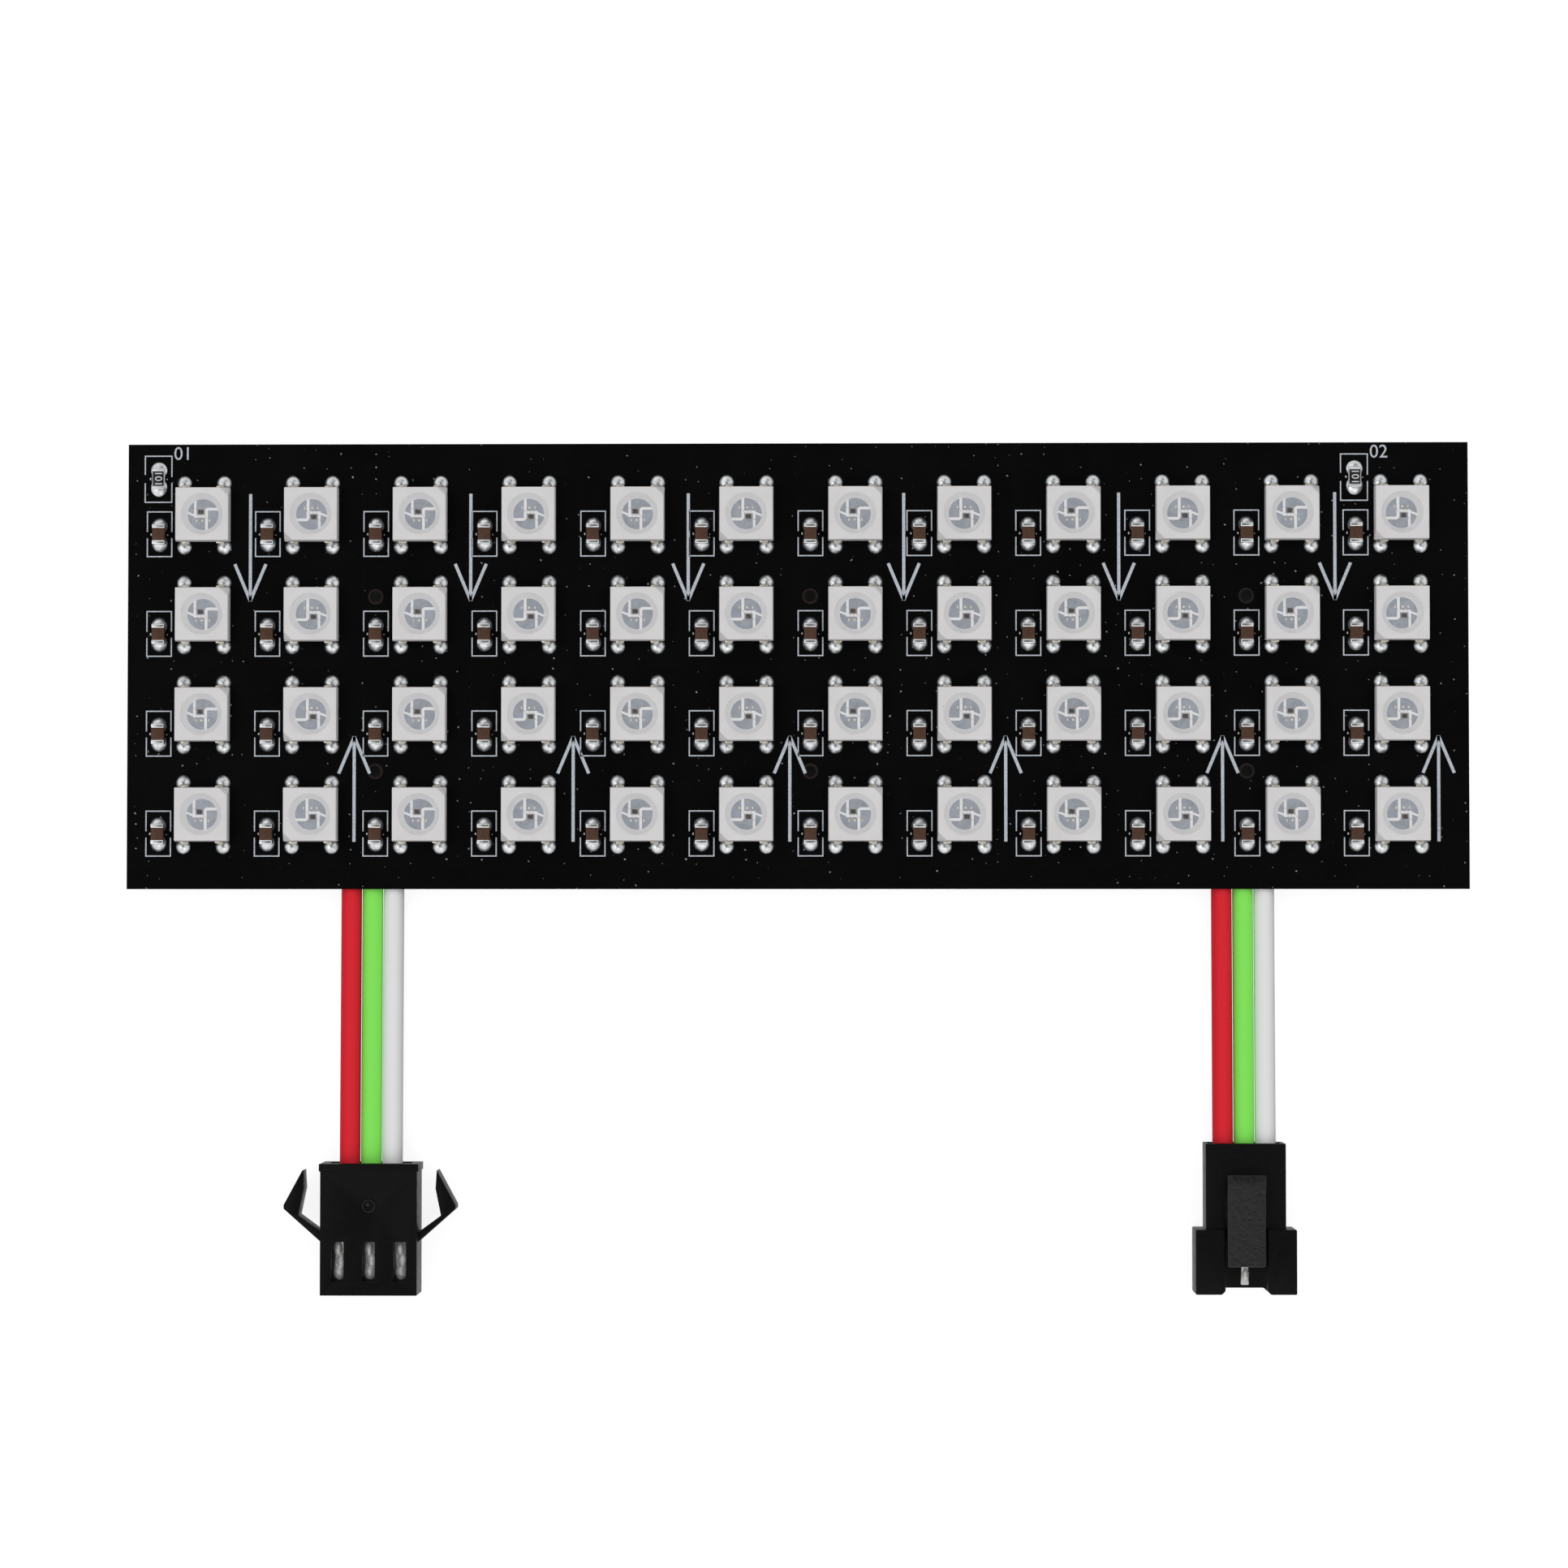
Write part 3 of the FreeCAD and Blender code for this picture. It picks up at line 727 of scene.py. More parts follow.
# %% [markdown]
# The floor of the cup is the leadframe, cut into four pads. The white moulding fills the cuts and
# shows as a pinwheel of white lines. They are drawn as flat bars on a grey disc, because they are
# what the eye meets, and the disc shows between them. Where bars cross they differ a little in
# height, since two faces in the same plane would flicker.

# %% The pinwheel of moulded ribs
# Each rib is a line, its width and its height.
RIB_LINES = (
    (((-0.72, 1.3), (-0.72, -0.165), (0.32, -0.165)), 0.24, 0.06),
    (((-0.66, -0.14), (-1.5, 0.2)), 0.2, 0.055),
    (((0.32, -1.46), (0.32, 0.4), (0.42, 0.5), (1.41, 0.5)), 0.26, 0.065),
)
ribs = join([strip(line, width, height, CUP_BOTTOM) for line, width, height in RIB_LINES])
# The ribs take the same cup finish, painted lighter against the shade in the cup.
ribs.data.materials.append(cup_white_painted_lighter)
over_the_grid(join([body, ribs]), "led_housings", None, dresses=True)

# %% [markdown]
# The leadframe is stamped copper with a bright silver plating. Under the fill its colour is
# painted a soft, bluish grey, darker than the plating, as painted shade in the cup. It is half
# matt and half mirror, so the finish is only partly metallic.

# %% The leadframe
DISC_RADIUS = CUP_FLOOR + 0.01
DISC_THICKNESS = 0.015
# The grey base colour is painted shade. The plating itself is brighter.
leadframe, tree = new_finish("silver_leadframe_painted_shade", "#A5ABB7", 0.42, 0.55)
emboss(tree, 0.15, 0.004)
mottle(tree, 0.8, (0.3, "#9CA2AD"), (0.7, "#AFB5C1"))
disc = add("circle", vertices=48, radius=DISC_RADIUS * MM, fill_type="NGON")
edit(disc)
bpy.ops.mesh.extrude_region_move(TRANSFORM_OT_translate={"value": (0, 0, DISC_THICKNESS * MM)})
leave()
face_outwards(disc)
move(disc, (0, 0, CUP_BOTTOM * MM))
over_the_grid(disc, "led_leadframes", leadframe)

# %% [markdown]
# On the pads sit four chips: the driver in the middle and one light chip each for red, green and
# blue. They are a few tenths of a millimetre across, so each is a small block with its edges
# taken off. Bare silicon is near black with a fine brown pattern of circuits. The light chips are
# pale, because they are mostly clear crystal over a gold pad.

# %% The driver chip and the light chips
silicon, tree = new_finish("bare_silicon", "#1C1A1B", 0.3, 0.2)
mottle(tree, 0.09, (0.45, "#110F10"), (0.66, "#6B5A4A"))
crystal, tree = new_finish("light_chip", "#E6DFC6", 0.35, 0.1)
mottle(tree, 0.07, (0.35, "#C2B993"), (0.6, "#F3F0E4"))
PAD_TOP = CUP_BOTTOM + DISC_THICKNESS
DRIVER_CORNERS = ((-0.44, 0.06), (0.03, 0.44))
DRIVER_TALL = 0.12
CHIP_TALL = 0.1
# The middle, width and length of each light chip.
LIGHT_CHIPS = ((-0.58, -0.57, 0.12, 0.25), (0.62, -0.57, 0.12, 0.25), (-0.07, -0.57, 0.2, 0.2))
near, far = DRIVER_CORNERS
driver = block((*near, PAD_TOP), (*far, PAD_TOP + DRIVER_TALL))
round_edges(driver, width=0.015, segments=1)
over_the_grid(driver, "driver_chips", silicon)
chips = []
for x, y, wide, long in LIGHT_CHIPS:
    low = (x - wide / 2, y - long / 2, PAD_TOP)
    chip = block(low, (x + wide / 2, y + long / 2, PAD_TOP + CHIP_TALL))
    chips.append(round_edges(chip, width=0.012, segments=1))
over_the_grid(join(chips), "light_chips", crystal)

# %% [markdown]
# Gold wires thinner than a hair join the driver to the pads and the light chips. Each is a low
# arch of a few straight sections with a four-sided bevel, since there are hundreds of them. Gold
# this thin shows only as a warm glint.

# %% The bond wires
gold, tree = new_finish("gold_wire", "#D8CBB0", 0.25, 1.0)
uneven_gloss(tree, 0.2, 0.15, 0.3)
BOND_WIRES = (
    ((-0.21, 0.26), (0.22, 1.05)),
    ((-0.1, 0.3), (0.75, 0.85)),
    ((-0.35, 0.1), (-0.58, -0.5)),
    ((-0.2, 0.1), (-0.07, -0.5)),
    ((-0.05, 0.1), (0.6, -0.5)),
    ((-0.4, 0.4), (-0.95, 0.6)),
)
BOND_RISE = 0.16
BOND_STEPS = 6
BOND_RADIUS = 0.013
bonds = []
for start, end in BOND_WIRES:
    line = bpy.data.curves.new("bond", "CURVE")
    line.dimensions = "3D"
    spline = line.splines.new("POLY")
    spline.points.add(BOND_STEPS)
    for i, point in enumerate(spline.points):
        part = i / BOND_STEPS
        x, y = (a + (b - a) * part for a, b in zip(start, end))
        rise = PAD_TOP + CHIP_TALL * (1 - part) + BOND_RISE * 4 * part * (1 - part)
        point.co = (x * MM, y * MM, rise * MM, 1)
    line.bevel_depth = BOND_RADIUS * MM
    line.bevel_resolution = 0
    bond = bpy.data.objects.new("bond", line)
    bpy.context.scene.collection.objects.link(bond)
    only(bond)
    bpy.ops.object.convert(target="MESH")
    edit(bond)
    bpy.ops.mesh.fill_holes(sides=0)
    leave()
    face_outwards(bond)
    bonds.append(bond)
over_the_grid(join(bonds), "bond_wires", gold)

# %% [markdown]
# The cup is filled with clear silicone, nearly level with its rim and sunk a hair in the middle
# as it cured. It hides nothing, so its finish is almost transparent and only adds a soft gloss.

# %% The clear fill
clear, tree = new_finish("clear_silicone", "#F4F5F7", 0.12, **{"Alpha": 0.05, "IOR": 1.41})
uneven_gloss(tree, 0.5, 0.08, 0.2)
FILL_GAP = 0.03
FILL_FOOT = CUP_FLOOR * 1.01
FILL_MOUTH = CUP_MOUTH - 0.03
# Each step towards the middle of the top: how far in, as a share, and how far down.
SUNK_STEPS = ((0.6, 0.02), (0.5, 0.008))
fill = add("circle", vertices=48, radius=FILL_FOOT * MM, fill_type="NGON")
edit(fill)
steps = [(FILL_MOUTH / FILL_FOOT, 2 * FILL_GAP - CUP_DEPTH), *SUNK_STEPS]
for grow, sink in steps:
    bpy.ops.mesh.extrude_region_move(TRANSFORM_OT_translate={"value": (0, 0, -sink * MM)})
    bpy.ops.transform.resize(value=(grow, grow, 1), center_override=(0, 0, 0))
leave()
face_outwards(fill)
move(fill, (0, 0, (CUP_BOTTOM + FILL_GAP) * MM))
smooth(fill, math.radians(30))
over_the_grid(fill, "led_lenses", clear, dresses=True)

# %% [markdown]
# ## Terminals and solder
# Each package stands on four bent terminals, whose hot-dipped tin has dulled to a warm grey.
# Reflowed solder is much brighter, a rippled mirror that froze as it ran, so its gloss varies.

# %% The finishes of terminals and solder
tin, tree = new_finish("tin_plated_lead", "#CFC8B8", 0.32, 0.9)
mottle(tree, 0.35, (0.3, "#B7AD98"), (0.7, "#E8E3D8"))
solder, tree = new_finish("reflowed_solder", "#D3D5D8", 0.3, 1.0)
mottle(tree, 0.5, (0.25, "#BDC0C3"), (0.7, "#E4E6E8"))
uneven_gloss(tree, 0.3, 0.2, 0.4)
emboss(tree, 0.45, 0.012)
print("solder and tin ready")

# %% [markdown]
# The solder wets each terminal and stands against it as a dome with a round outline. A sphere
# that is squashed and cut flat makes the dome. One corner is modelled, and mirrored twice.

# %% Four terminals to a package
FOOT_LOW = (1.21, 2.4, 0.02)
FOOT_HIGH = (1.97, 2.66, 0.86)
SOLDER_X = 1.83
SOLDER_Y = 2.92
# How deep the ball sits under the board, as a share of its radius.
BALL_SUNK = 0.7


def dome(place, half_width, half_length, height):
    """A drop of solder that has wetted its pad: the cap of a squashed ball. In millimetres."""
    spread = math.sqrt(1 - BALL_SUNK**2)
    tall = height / (1 - BALL_SUNK)
    x, y, low = place
    drop = add(
        "uv_sphere",
        segments=16,
        ring_count=12,
        radius=MM,
        scale=(half_width / spread, half_length / spread, tall),
        location=Vector((x, y, low - BALL_SUNK * tall)) * MM,
    )
    cut(drop, (0, 0, low), (0, 0, -1))
    return smooth(drop, math.radians(45))


def mirrored(piece, axis):
    """A copy mirrored in a plane through the middle: across X for axis 0, across Y for axis 1."""
    made = copy_of(piece)
    made.scale[axis] = -1
    settle(made)
    face_outwards(made)
    return made


def at_four_corners(piece):
    """The piece and its mirror images across both axes."""
    pair = join([piece, mirrored(piece, 0)])
    return join([pair, mirrored(pair, 1)])


foot = round_edges(block(FOOT_LOW, FOOT_HIGH), width=0.08)
over_the_grid(at_four_corners(foot), "led_terminals", tin, dresses=True)
drop = dome((SOLDER_X, SOLDER_Y, 0), half_width=0.68, half_length=0.72, height=0.42)
cut(drop, (0, LED_SIDE / 2 / MM, 0), (0, -1, 0))
over_the_grid(at_four_corners(drop), "led_solder", solder)

# %% [markdown]
# ## Capacitors and resistors
# A ceramic chip capacitor is a fired brown block, matt and finely grained, whose two ends are
# dipped in metal. The metal is bright and smooth, with only a soft unevenness from the dipping.

# %% The finishes of the chip parts
ceramic, tree = new_finish("fired_brown_ceramic", "#4B3020", 0.45, **{"Specular IOR Level": 0.3})
mottle(tree, 0.12, (0.3, "#402819"), (0.7, "#573825"))
emboss(tree, 0.06, 0.004)
dipped, tree = new_finish("dipped_metal_ends", "#E6E7E8", 0.26, 1.0)
mottle(tree, 0.3, (0.3, "#D3D4D6"), (0.7, "#F2F3F4"))
emboss(tree, 0.15, 0.006)
print("chip part finishes ready")

# %% [markdown]
# One capacitor stands beside each package. Its dipped ends are rounder than its body and a little
# proud of it. They are soldered with a dome above and below, and small beads of solder have run
# out at its sides.

# %% The capacitors
CAP_X = -4.12
CAP_Y = -1.79
CAP_END = 0.41
CAP_TALL = 0.85
CHIP_HALF = 0.95
CHIP_WIDE = 0.6
# How far a body stays within its ends, and how far it reaches into them.
BODY_INSET = 0.03
BODY_TUCK = 0.02


def chip_body(x, y, end, tall):
    """The block between the two ends of a chip part."""
    wide, half = CHIP_WIDE - BODY_INSET, CHIP_HALF - end + BODY_TUCK
    return block((x - wide, y - half, BODY_INSET), (x + wide, y + half, tall))


def metal_ends(x, y, end, tall):
    """The two dipped ends of a chip part, with their rims rounded."""
    made = []
    for near, far in ((CHIP_HALF - end, CHIP_HALF), (-CHIP_HALF, end - CHIP_HALF)):
        cap = block((x - CHIP_WIDE, y + near, 0), (x + CHIP_WIDE, y + far, tall))
        made.append(round_edges(cap, width=0.1, segments=3))
    return join(made)


def chip_solder(x, y, tall):
    """The domes at both ends of a chip part and the beads at its sides."""
    inset, rise = 0.16, tall * 0.66
    upper = dome((x, y + CHIP_HALF - inset, 0), 0.76, 0.76, rise)
    lower = dome((x, y - CHIP_HALF + inset, 0), 0.76, 0.84, rise)
    left = dome((x - 0.76, y + 0.02, 0), 0.12, 0.13, 0.1)
    right = dome((x + 0.74, y - 0.03, 0), 0.08, 0.08, 0.08)
    return join([upper, lower, left, right])


middle = round_edges(chip_body(CAP_X, CAP_Y, CAP_END, CAP_TALL - BODY_INSET), width=0.04)
caps = metal_ends(CAP_X, CAP_Y, CAP_END, CAP_TALL)
joints = chip_solder(CAP_X, CAP_Y, CAP_TALL)
over_the_grid(middle, "capacitor_bodies", ceramic, turned=False, dresses=True)
over_the_grid(caps, "capacitor_ends", dipped, turned=False, dresses=True)
over_the_grid(joints, "capacitor_solder", solder, turned=False)

# %% [markdown]
# A chip resistor is a white alumina plate with a black glaze on top that carries its value code.
# Alumina is chalky and matt, the glaze glossy like enamel, and the code a matt white print. The
# glaze stops short of the plate's edge, which leaves a pale frame round it.

# %% The finishes of the resistors
alumina, tree = new_finish("white_alumina", "#C9CACC", 0.5)
emboss(tree, 0.05, 0.004)
glaze, tree = new_finish("black_resistor_glaze", "#0C0C0E", 0.28)
uneven_gloss(tree, 0.2, 0.22, 0.4)
printed, tree = new_finish("white_print", "#D6D8DA", 0.6)
mottle(tree, 0.08, (0.3, "#B9BCC0"), (0.6, "#E4E6E8"))
print("resistor finishes ready")

# %% [markdown]
# There are two resistors, one at each upper corner, and each gets a plain number for its code.
# Numbers are text that is made a mesh before it is put in its place.

# %% The resistors
RESISTOR_X = -4.2
RESISTOR_Y = 3.35
RESISTOR_END = 0.25
RESISTOR_TALL = 0.5
PLATE_TOP = 0.46
# The glaze: how far it stays within the plate's sides and ends, and its two heights.
GLAZE_SIDE, GLAZE_END = 0.09, 0.03
GLAZE_LOW, GLAZE_TOP = 0.45, 0.485
CODE = "101"
CODE_SIZE = 0.95
CODE_HEIGHT = 0.492
PRINT_THICKNESS = 0.012
CORNER_COLUMNS = {"input": FIRST_COLUMN, "output": LAST_COLUMN}


def written(words, size, middle, low, turn=0.0):
    """Plain numbers as a thin raised print, in millimetres."""
    bpy.ops.object.text_add(location=Vector((*middle, low)) * MM, rotation=(0, 0, turn))
    text = bpy.context.object
    text.data.body = words
    text.data.size = size * MM
    text.data.align_x = "CENTER"
    text.data.align_y = "CENTER"
    text.data.extrude = PRINT_THICKNESS / 2 * MM
    text.data.resolution_u = 4
    bpy.ops.object.convert(target="MESH")
    text = bpy.context.object
    settle(text)
    edit(text)
    bpy.ops.mesh.remove_doubles(threshold=1e-7)
    leave()
    return text


for name, column_x in CORNER_COLUMNS.items():
    spot = (column_x, row_y[1], BOARD_TOP)
    x, y = RESISTOR_X, RESISTOR_Y
    plate = round_edges(chip_body(x, y, RESISTOR_END, PLATE_TOP), width=0.02, segments=1)
    hang(move(plate, spot), f"{name}_resistor_plate", alumina)
    wide, half = CHIP_WIDE - GLAZE_SIDE, CHIP_HALF - RESISTOR_END - GLAZE_END
    top = block((x - wide, y - half, GLAZE_LOW), (x + wide, y + half, GLAZE_TOP))
    round_edges(top, width=0.015)
    hang(move(top, spot), f"{name}_resistor_glaze", glaze, [f"{name}_resistor_body"])
    code = written(CODE, CODE_SIZE, (x, y), CODE_HEIGHT, turn=-math.pi / 2)
    hang(move(code, spot), f"{name}_resistor_code", printed)
    ends_node = f"{name}_resistor_ends"
    ends = metal_ends(x, y, RESISTOR_END, RESISTOR_TALL)
    hang(move(ends, spot), f"{ends_node}_dressed", dipped, [ends_node])
    joints = chip_solder(x, y, RESISTOR_TALL)
    hang(move(joints, spot), f"{name}_resistor_solder", solder)
print("resistors dressed")

# %% [markdown]
# ## The board
# The board is a thin polyimide film with copper tracks under a black solder mask. So its surface
# is satin black, with the faintest steps where the copper pours end. Specks of dust lie on it:
# ragged dots of different sizes, in a few of the cells of a cell pattern.

# %% Black solder mask
POUR_GAP = 0.12 * MM
STEP_DEPTH = 0.015 * MM
GRAIN_SHARE = 0.12
DUST_SPACING = 1.1 * MM
DUST_RAGGEDNESS = 0.25 * MM
DUST_EDGE = 0.16 * MM
DUST_RADIUS = 0.062
DUST_RARITY = 0.72
mask, tree = new_finish("black_solder_mask", "#040405", 0.42, **{"Specular IOR Level": 0.05})
uneven_gloss(tree, 1.5, 0.36, 0.5)
coat = mottle(tree, 6.0, (0.3, "#030304"), (0.7, "#060607"))
place = add_node(tree, "ShaderNodeTexCoord").outputs["Object"]
pours = add_node(
    tree,
    "ShaderNodeTexBrick",
    {
        "Vector": place,
        "Color1": (1, 1, 1, 1),
        "Color2": (1, 1, 1, 1),
        "Mortar": (0, 0, 0, 1),
        "Scale": 1.0,
        "Mortar Size": POUR_GAP,
        "Mortar Smooth": 0.6,
        "Brick Width": COLUMN_PITCH,
        "Row Height": ROW_PITCH,
    },
    offset=0.0,
)
height = add_node(
    tree,
    "ShaderNodeMath",
    {0: pours.outputs["Color"], 1: patches(tree, 0.25, 3.0), 2: GRAIN_SHARE},
    operation="MULTIPLY_ADD",
)
steps = add_node(tree, "ShaderNodeBump", {"Height": height.outputs[0], "Distance": STEP_DEPTH})
vary(tree, "Normal", steps, "Normal")

shaken = add_node(tree, "ShaderNodeTexNoise", {"Vector": place, "Scale": 1 / DUST_EDGE})
ragged = add_node(
    tree,
    "ShaderNodeVectorMath",
    {0: shaken.outputs["Color"], 1: (DUST_RAGGEDNESS,) * 3, 2: place},
    operation="MULTIPLY_ADD",
)
dust = add_node(
    tree,
    "ShaderNodeTexVoronoi",
    {"Vector": ragged.outputs[0], "Scale": 1 / DUST_SPACING},
    voronoi_dimensions="2D",
).outputs
chance = add_node(tree, "ShaderNodeSeparateColor", {"Color": dust["Color"]}).outputs["Green"]
size = add_node(tree, "ShaderNodeMath", {0: chance, 1: DUST_RADIUS}, operation="MULTIPLY")
scatter(tree, coat, dust, size.outputs[0], DUST_RARITY, "#8D9196")
print("mask ready, row pitch", round(ROW_PITCH / MM, 2))

# %% [markdown]
# Where a measured solid already has the right shape, its mesh is copied, its loose triangles are
# merged into whole faces again, and its edges are rounded. The solid itself stays as it is.

# %% The board


def dressed_copy(node, width, segments=2):
    """A copy of a solid's mesh, merged into whole faces and rounded along its edges."""
    mesh = nodes[node].data.copy()
    mesh.materials.clear()
    piece = bpy.data.objects.new("copy", mesh)
    bpy.context.scene.collection.objects.link(piece)
    edit(piece)
    bpy.ops.mesh.remove_doubles(threshold=1e-6)
    bpy.ops.mesh.dissolve_limited(angle_limit=math.radians(1))
    leave()
    return round_edges(piece, width, segments)


panel = dressed_copy("flex_board", width=0.03, segments=1)
hang(panel, "flex_board_dressed", mask, ["flex_board"])
print("board faces:", len(panel.data.polygons))

# %% [markdown]
# The white print is ink laid on through a screen: thin, matt and slightly ragged, so its grey is
# uneven. Each capacitor stands in a frame whose sides are broken by a gap, and arrows between
# the columns show which way the data runs.

# %% The frames and the arrows
ink, tree = new_finish("screen_print_ink", "#BBC1C9", 0.7)
mottle(tree, 0.12, (0.35, "#A7ADB5"), (0.6, "#C5CBD3"), detail=3.0)
INK_LOW = -0.01
INK_HEIGHT = 0.03
FRAME_LINE = 0.11
# A frame is its left, right, low and high side. A gap is where its side is broken.
CAP_FRAME = (-5.25, -2.99, -3.81, 0.32)
CAP_GAPS = ((-2.11, -1.54), (-2.11, -1.54))
ARROW_LINE = 0.29
ARROW_X = {
    "down": (-50.3, -29.97, -9.94, 9.87, 29.6, 49.4),
    "up": (-40.66, -20.5, -0.6, 19.2, 39.05, 58.8),
}
ARROW_SPAN = {"down": (15.9, 6.03), "up": (-16.15, -6.48)}
WING_SPREAD = 1.43
WING_BACK = 3.4


def printed_line(points, width):
    """One printed line, on the board's skin."""
    return strip(points, width, INK_HEIGHT, INK_LOW)


def open_frame(frame_sides, gaps):
    """A printed frame whose two sides are each broken by a gap: two brackets."""
    left, right, low, high = frame_sides
    (left_low, left_high), (right_low, right_high) = gaps
    upper = [(left, left_high), (left, high), (right, high), (right, right_high)]
    lower = [(left, left_low), (left, low), (right, low), (right, right_low)]
    return join([printed_line(bracket, FRAME_LINE) for bracket in (upper, lower)])


frames = open_frame(CAP_FRAME, CAP_GAPS)
over_the_grid(frames, "capacitor_frames", ink, turned=False)

arrows = []
for way, places in ARROW_X.items():
    tail, tip = ARROW_SPAN[way]
    wing = tip + math.copysign(WING_BACK, tail - tip)
    for x in places:
        arrows.append(printed_line([(x, tail), (x, tip)], ARROW_LINE))
        for spread in (-WING_SPREAD, WING_SPREAD):
            arrows.append(printed_line([(x + spread, wing), (x, tip)], ARROW_LINE))
arrows = join(arrows)
hang(move(arrows, (0, 0, BOARD_TOP)), "printed_arrows", ink)
print("frames and arrows printed")

# %% [markdown]
# Each resistor has a frame too, and a plain number beside it.

# %% The resistors' print
RESISTOR_FRAME = (-5.47, -3.01, 1.21, 5.47)
RESISTOR_GAPS = ((2.98, 3.75), (2.98, 3.55))
LABELS = {"input": "01", "output": "02"}
LABEL_SIZE = 1.72
LABEL_PLACE = (-1.98, 5.65)
for name, column_x in CORNER_COLUMNS.items():
    label = written(LABELS[name], LABEL_SIZE, LABEL_PLACE, INK_HEIGHT / 2)
    marks = join([open_frame(RESISTOR_FRAME, RESISTOR_GAPS), label])
    move(marks, (column_x, row_y[1], BOARD_TOP))
    hang(marks, f"{name}_resistor_print", ink)
print("resistors' print done")

# %% [markdown]
# The six small holes have a flat ring round them where the mask is left off. Bare polyimide film
# over a black ground is dark brown, satin and hardly seen.

# %% Rings of bare film
film, tree = new_finish("bare_amber_film", "#1A0F0A", 0.5, **{"Specular IOR Level": 0.2})
mottle(tree, 0.3, (0.3, "#140B08"), (0.7, "#21130D"))
HOLE_X = (-38.73, 1.27, 41.27)
HOLE_Y = (6.4, -9.68)
RING_INSIDE = 0.51
RING_OUTSIDE = 0.725
RING_THICKNESS = 0.02
rings = []
for x in HOLE_X:
    for y in HOLE_Y:
        middle = (x * MM, y * MM, BOARD_TOP)
        ring = add("circle", vertices=32, radius=RING_INSIDE * MM, location=middle)
        edit(ring)
        grow = RING_OUTSIDE / RING_INSIDE
        bpy.ops.mesh.extrude_edges_move()
        bpy.ops.transform.resize(value=(grow, grow, 1), center_override=middle)
        leave()
        rings.append(modify(ring, "SOLIDIFY", thickness=RING_THICKNESS * MM, offset=0))
rings = join(rings)
face_outwards(rings)
hang(rings, "hole_rings", film)

# %% [markdown]
# ## The connectors
# Both housings are injection-moulded in black nylon. A mould that was eroded by sparks gives
# them a fine matt grain. The latch lever is glossier, and its colour is painted a shade lighter
# as a painted sheen.

# %% Black nylon
nylon, tree = new_finish("black_moulded_nylon", "#070707", 0.42, **{"Specular IOR Level": 0.1})
mottle(tree, 0.3, (0.3, "#050505"), (0.7, "#0A0A0A"), detail=4.0)
uneven_gloss(tree, 0.6, 0.32, 0.55)
# Spark grain is some 0.05 mm in fact, and is drawn three times as coarse so that it shows.
emboss(tree, 0.15, 0.03, detail=4.0)
# The lighter nylon is a painted sheen, on the lever's top and on the plug's moulding mark.
lighter_nylon_sheen, tree = new_finish("black_nylon_painted_sheen", "#101010", 0.34, **{"Specular IOR Level": 0.28})
mottle(tree, 0.5, (0.3, "#0B0B0B"), (0.62, "#171717"), detail=5.0)
emboss(tree, 0.35, 0.08, detail=3.0)
print("nylon finishes ready")

# %% [markdown]
# The shape of both housings is already in the solids, so each is a copy of its solid. Its edges
# get the small radius that every moulding has, which draws the bright lines seen along them.

# %% The two housings
# Faces above this height, the top of the lever, are painted lighter as a sheen.
LEVER_LOW = 4.62
for name in ("input_plug_housing", "output_socket_housing"):
    housing = dressed_copy(name, width=0.1)
    housing.data.materials.append(nylon)
    if name == "output_socket_housing":
        finish_faces(housing, lighter_nylon_sheen, lambda p: p.z > LEVER_LOW * MM)
    hang(housing, f"{name}_dressed", None, [name])
    print(name, "faces:", len(housing.data.polygons))

# %% [markdown]
# On the plug a small ring with a stub of plastic in it shows where the mould was filled or
# pushed off. The ring is a torus that is half sunk in the surface.

# %% The moulding mark on the plug
MARK = (-39.05, -49.44, 4.33)
STUB = (-39.15, -49.32, 4.31)
ring = add(
    "torus",
    major_radius=0.58 * MM,
    minor_radius=0.1 * MM,
    major_segments=28,
    minor_segments=6,
    location=Vector(MARK) * MM,
)
only(ring)
bpy.ops.object.shade_smooth()
stub = dome(STUB, half_width=0.2, half_length=0.2, height=0.1)
# The mark takes the lighter nylon too: a painted sheen on the ring and its stub.
hang(join([ring, stub]), "plug_moulding_mark", lighter_nylon_sheen)

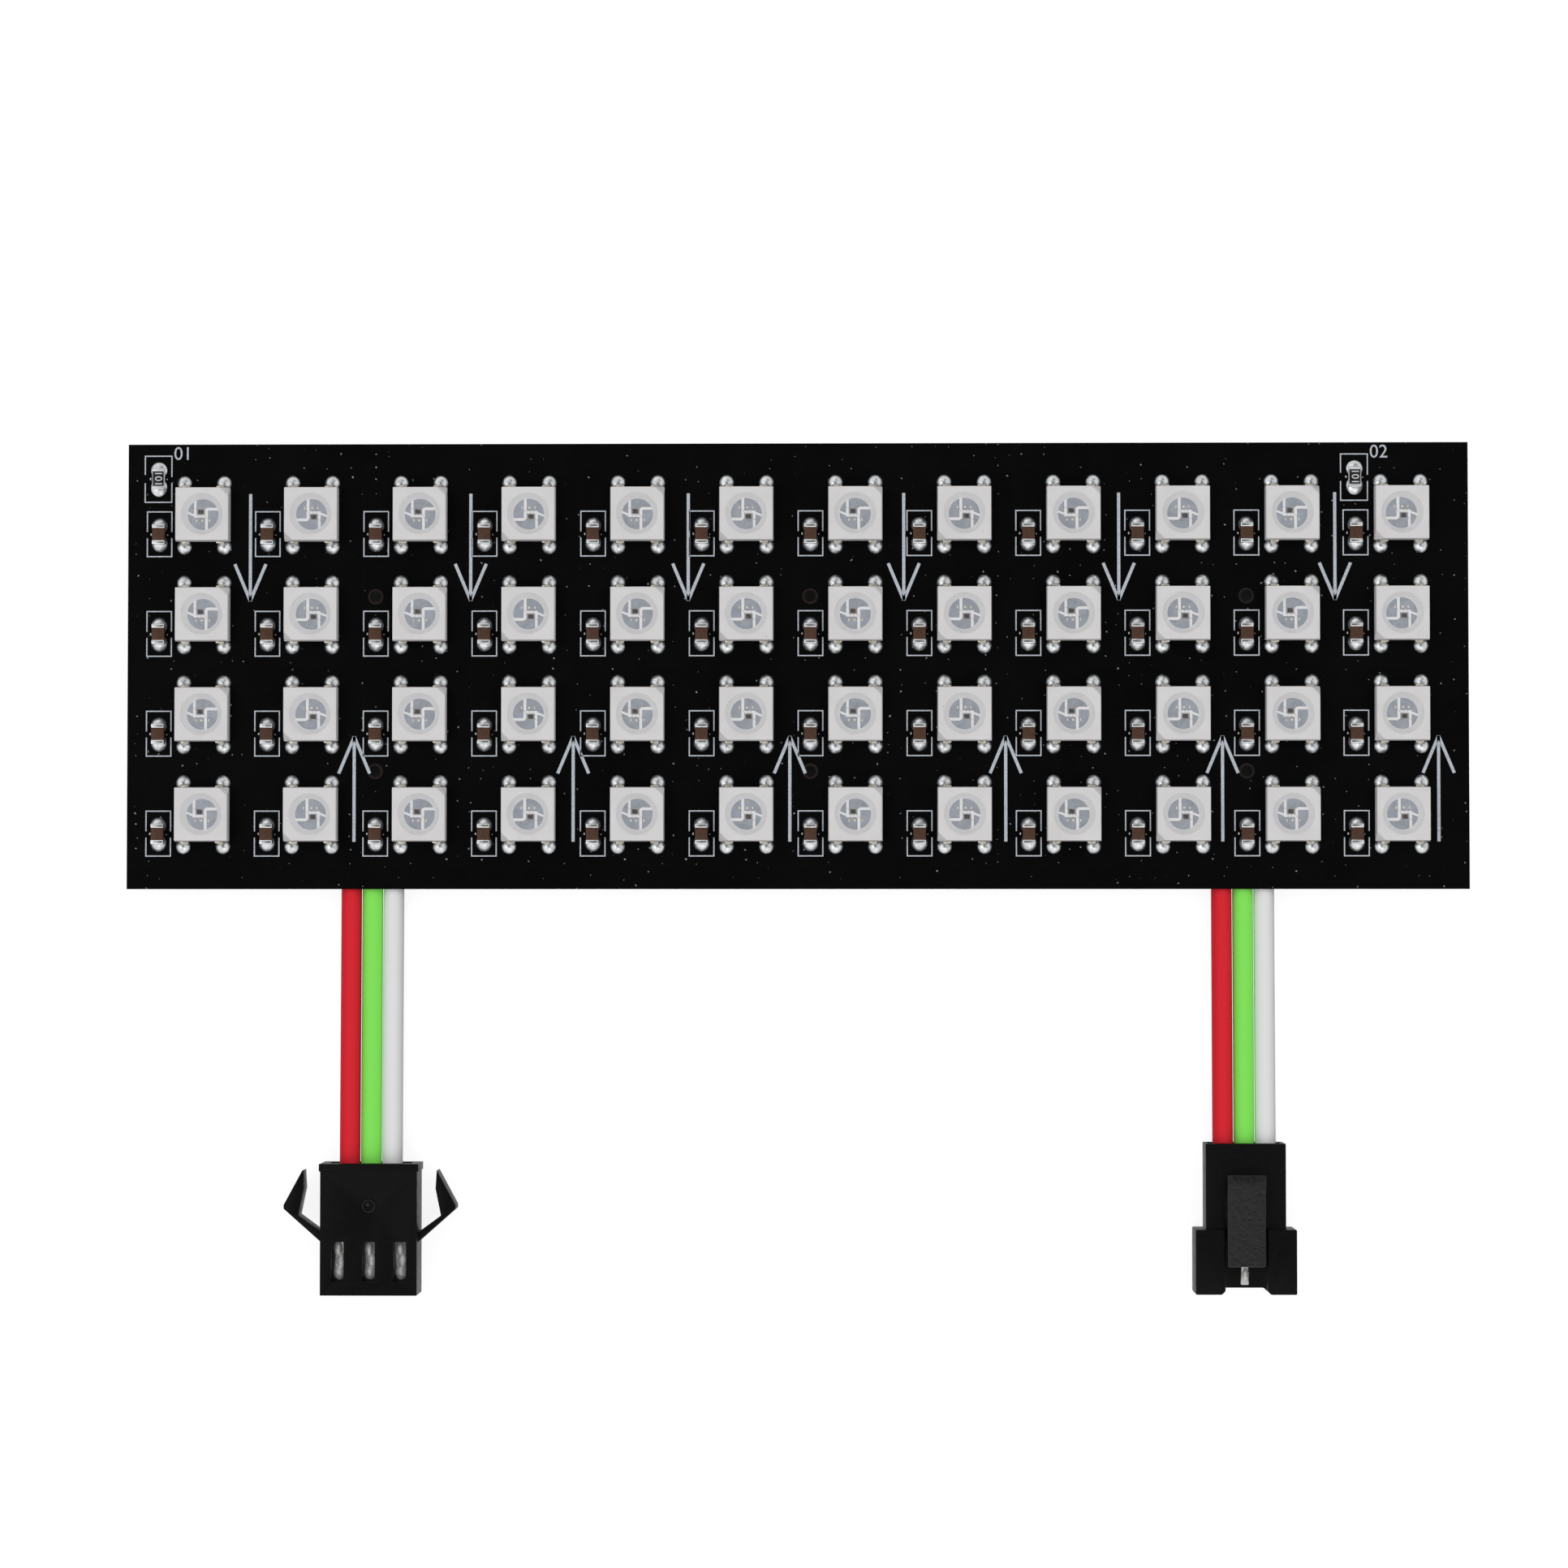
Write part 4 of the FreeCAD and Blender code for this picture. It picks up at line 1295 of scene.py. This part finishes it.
# %% [markdown]
# The contacts are stamped from tinned brass strip, which is a smooth mirror and looks dark where
# it reflects the dark ceiling. Where it is folded round the bared strands it is wetted with tin,
# which is matt, lumpy and bright.

# %% The finishes of the contacts
strip_metal, tree = new_finish("tinned_contact_strip", "#B4B4B2", 0.22, 1.0)
uneven_gloss(tree, 0.3, 0.16, 0.3)
folded, tree = new_finish("matt_tinned_crimp", "#D6D6D4", 0.45, 0.35)
mottle(tree, 0.4, (0.3, "#BDBDBB"), (0.7, "#F0F0EE"), detail=4.0)
emboss(tree, 0.5, 0.08)
print("contact finishes ready")

# %% [markdown]
# In the plug's windows the strip is folded over the wire in uneven lumps. In the socket's mouth
# the middle pin ends in a bright rounded tip. Under the board, each wire ends in a mound of
# solder.

# %% Contacts and solder joints
CONTACT_KIND = {"input": "contact", "output": "pin"}
WINDOW_X = {"red": -41.8, "green": -39.0, "white": -36.15}
CRIMP_TOP = 3.15
CRIMP_HEIGHT = 0.4
# Each lump: how far off the window's middle, its place along it, half its width and length.
CRIMP_LUMPS = ((-0.12, -53.4, 0.42, 0.8), (0.14, -54.5, 0.52, 0.8), (-0.03, -55.55, 0.56, 0.72))
PIN_TIP = (40.98, -55.7, 2.4)


def contact_lumps(name, colour):
    """What is added to a bare contact: the folded crimp in a window, or the middle pin's tip."""
    if name == "input":
        x = WINDOW_X[colour]
        return [
            dome((x + off, y, CRIMP_TOP), half_width, half_length, CRIMP_HEIGHT)
            for off, y, half_width, half_length in CRIMP_LUMPS
        ]
    if colour == "green":
        return [dome(PIN_TIP, half_width=0.4, half_length=0.92, height=0.5)]
    return []


for name, kind in CONTACT_KIND.items():
    for colour in WIRE_COLOURS:
        node = f"{name}_{kind}_{colour}"
        bare = dressed_copy(node, width=0.12)
        bare.data.materials.append(strip_metal)
        lumps = contact_lumps(name, colour)
        for lump in lumps:
            lump.data.materials.append(folded)
        hang(join([bare, *lumps]), f"{node}_dressed", None, [node])
    mounds = dressed_copy(f"{name}_wire_joints", width=0.55, segments=4)
    hang(mounds, f"{name}_wire_joints_dressed", solder, [f"{name}_wire_joints"])
print("contacts and joints dressed")
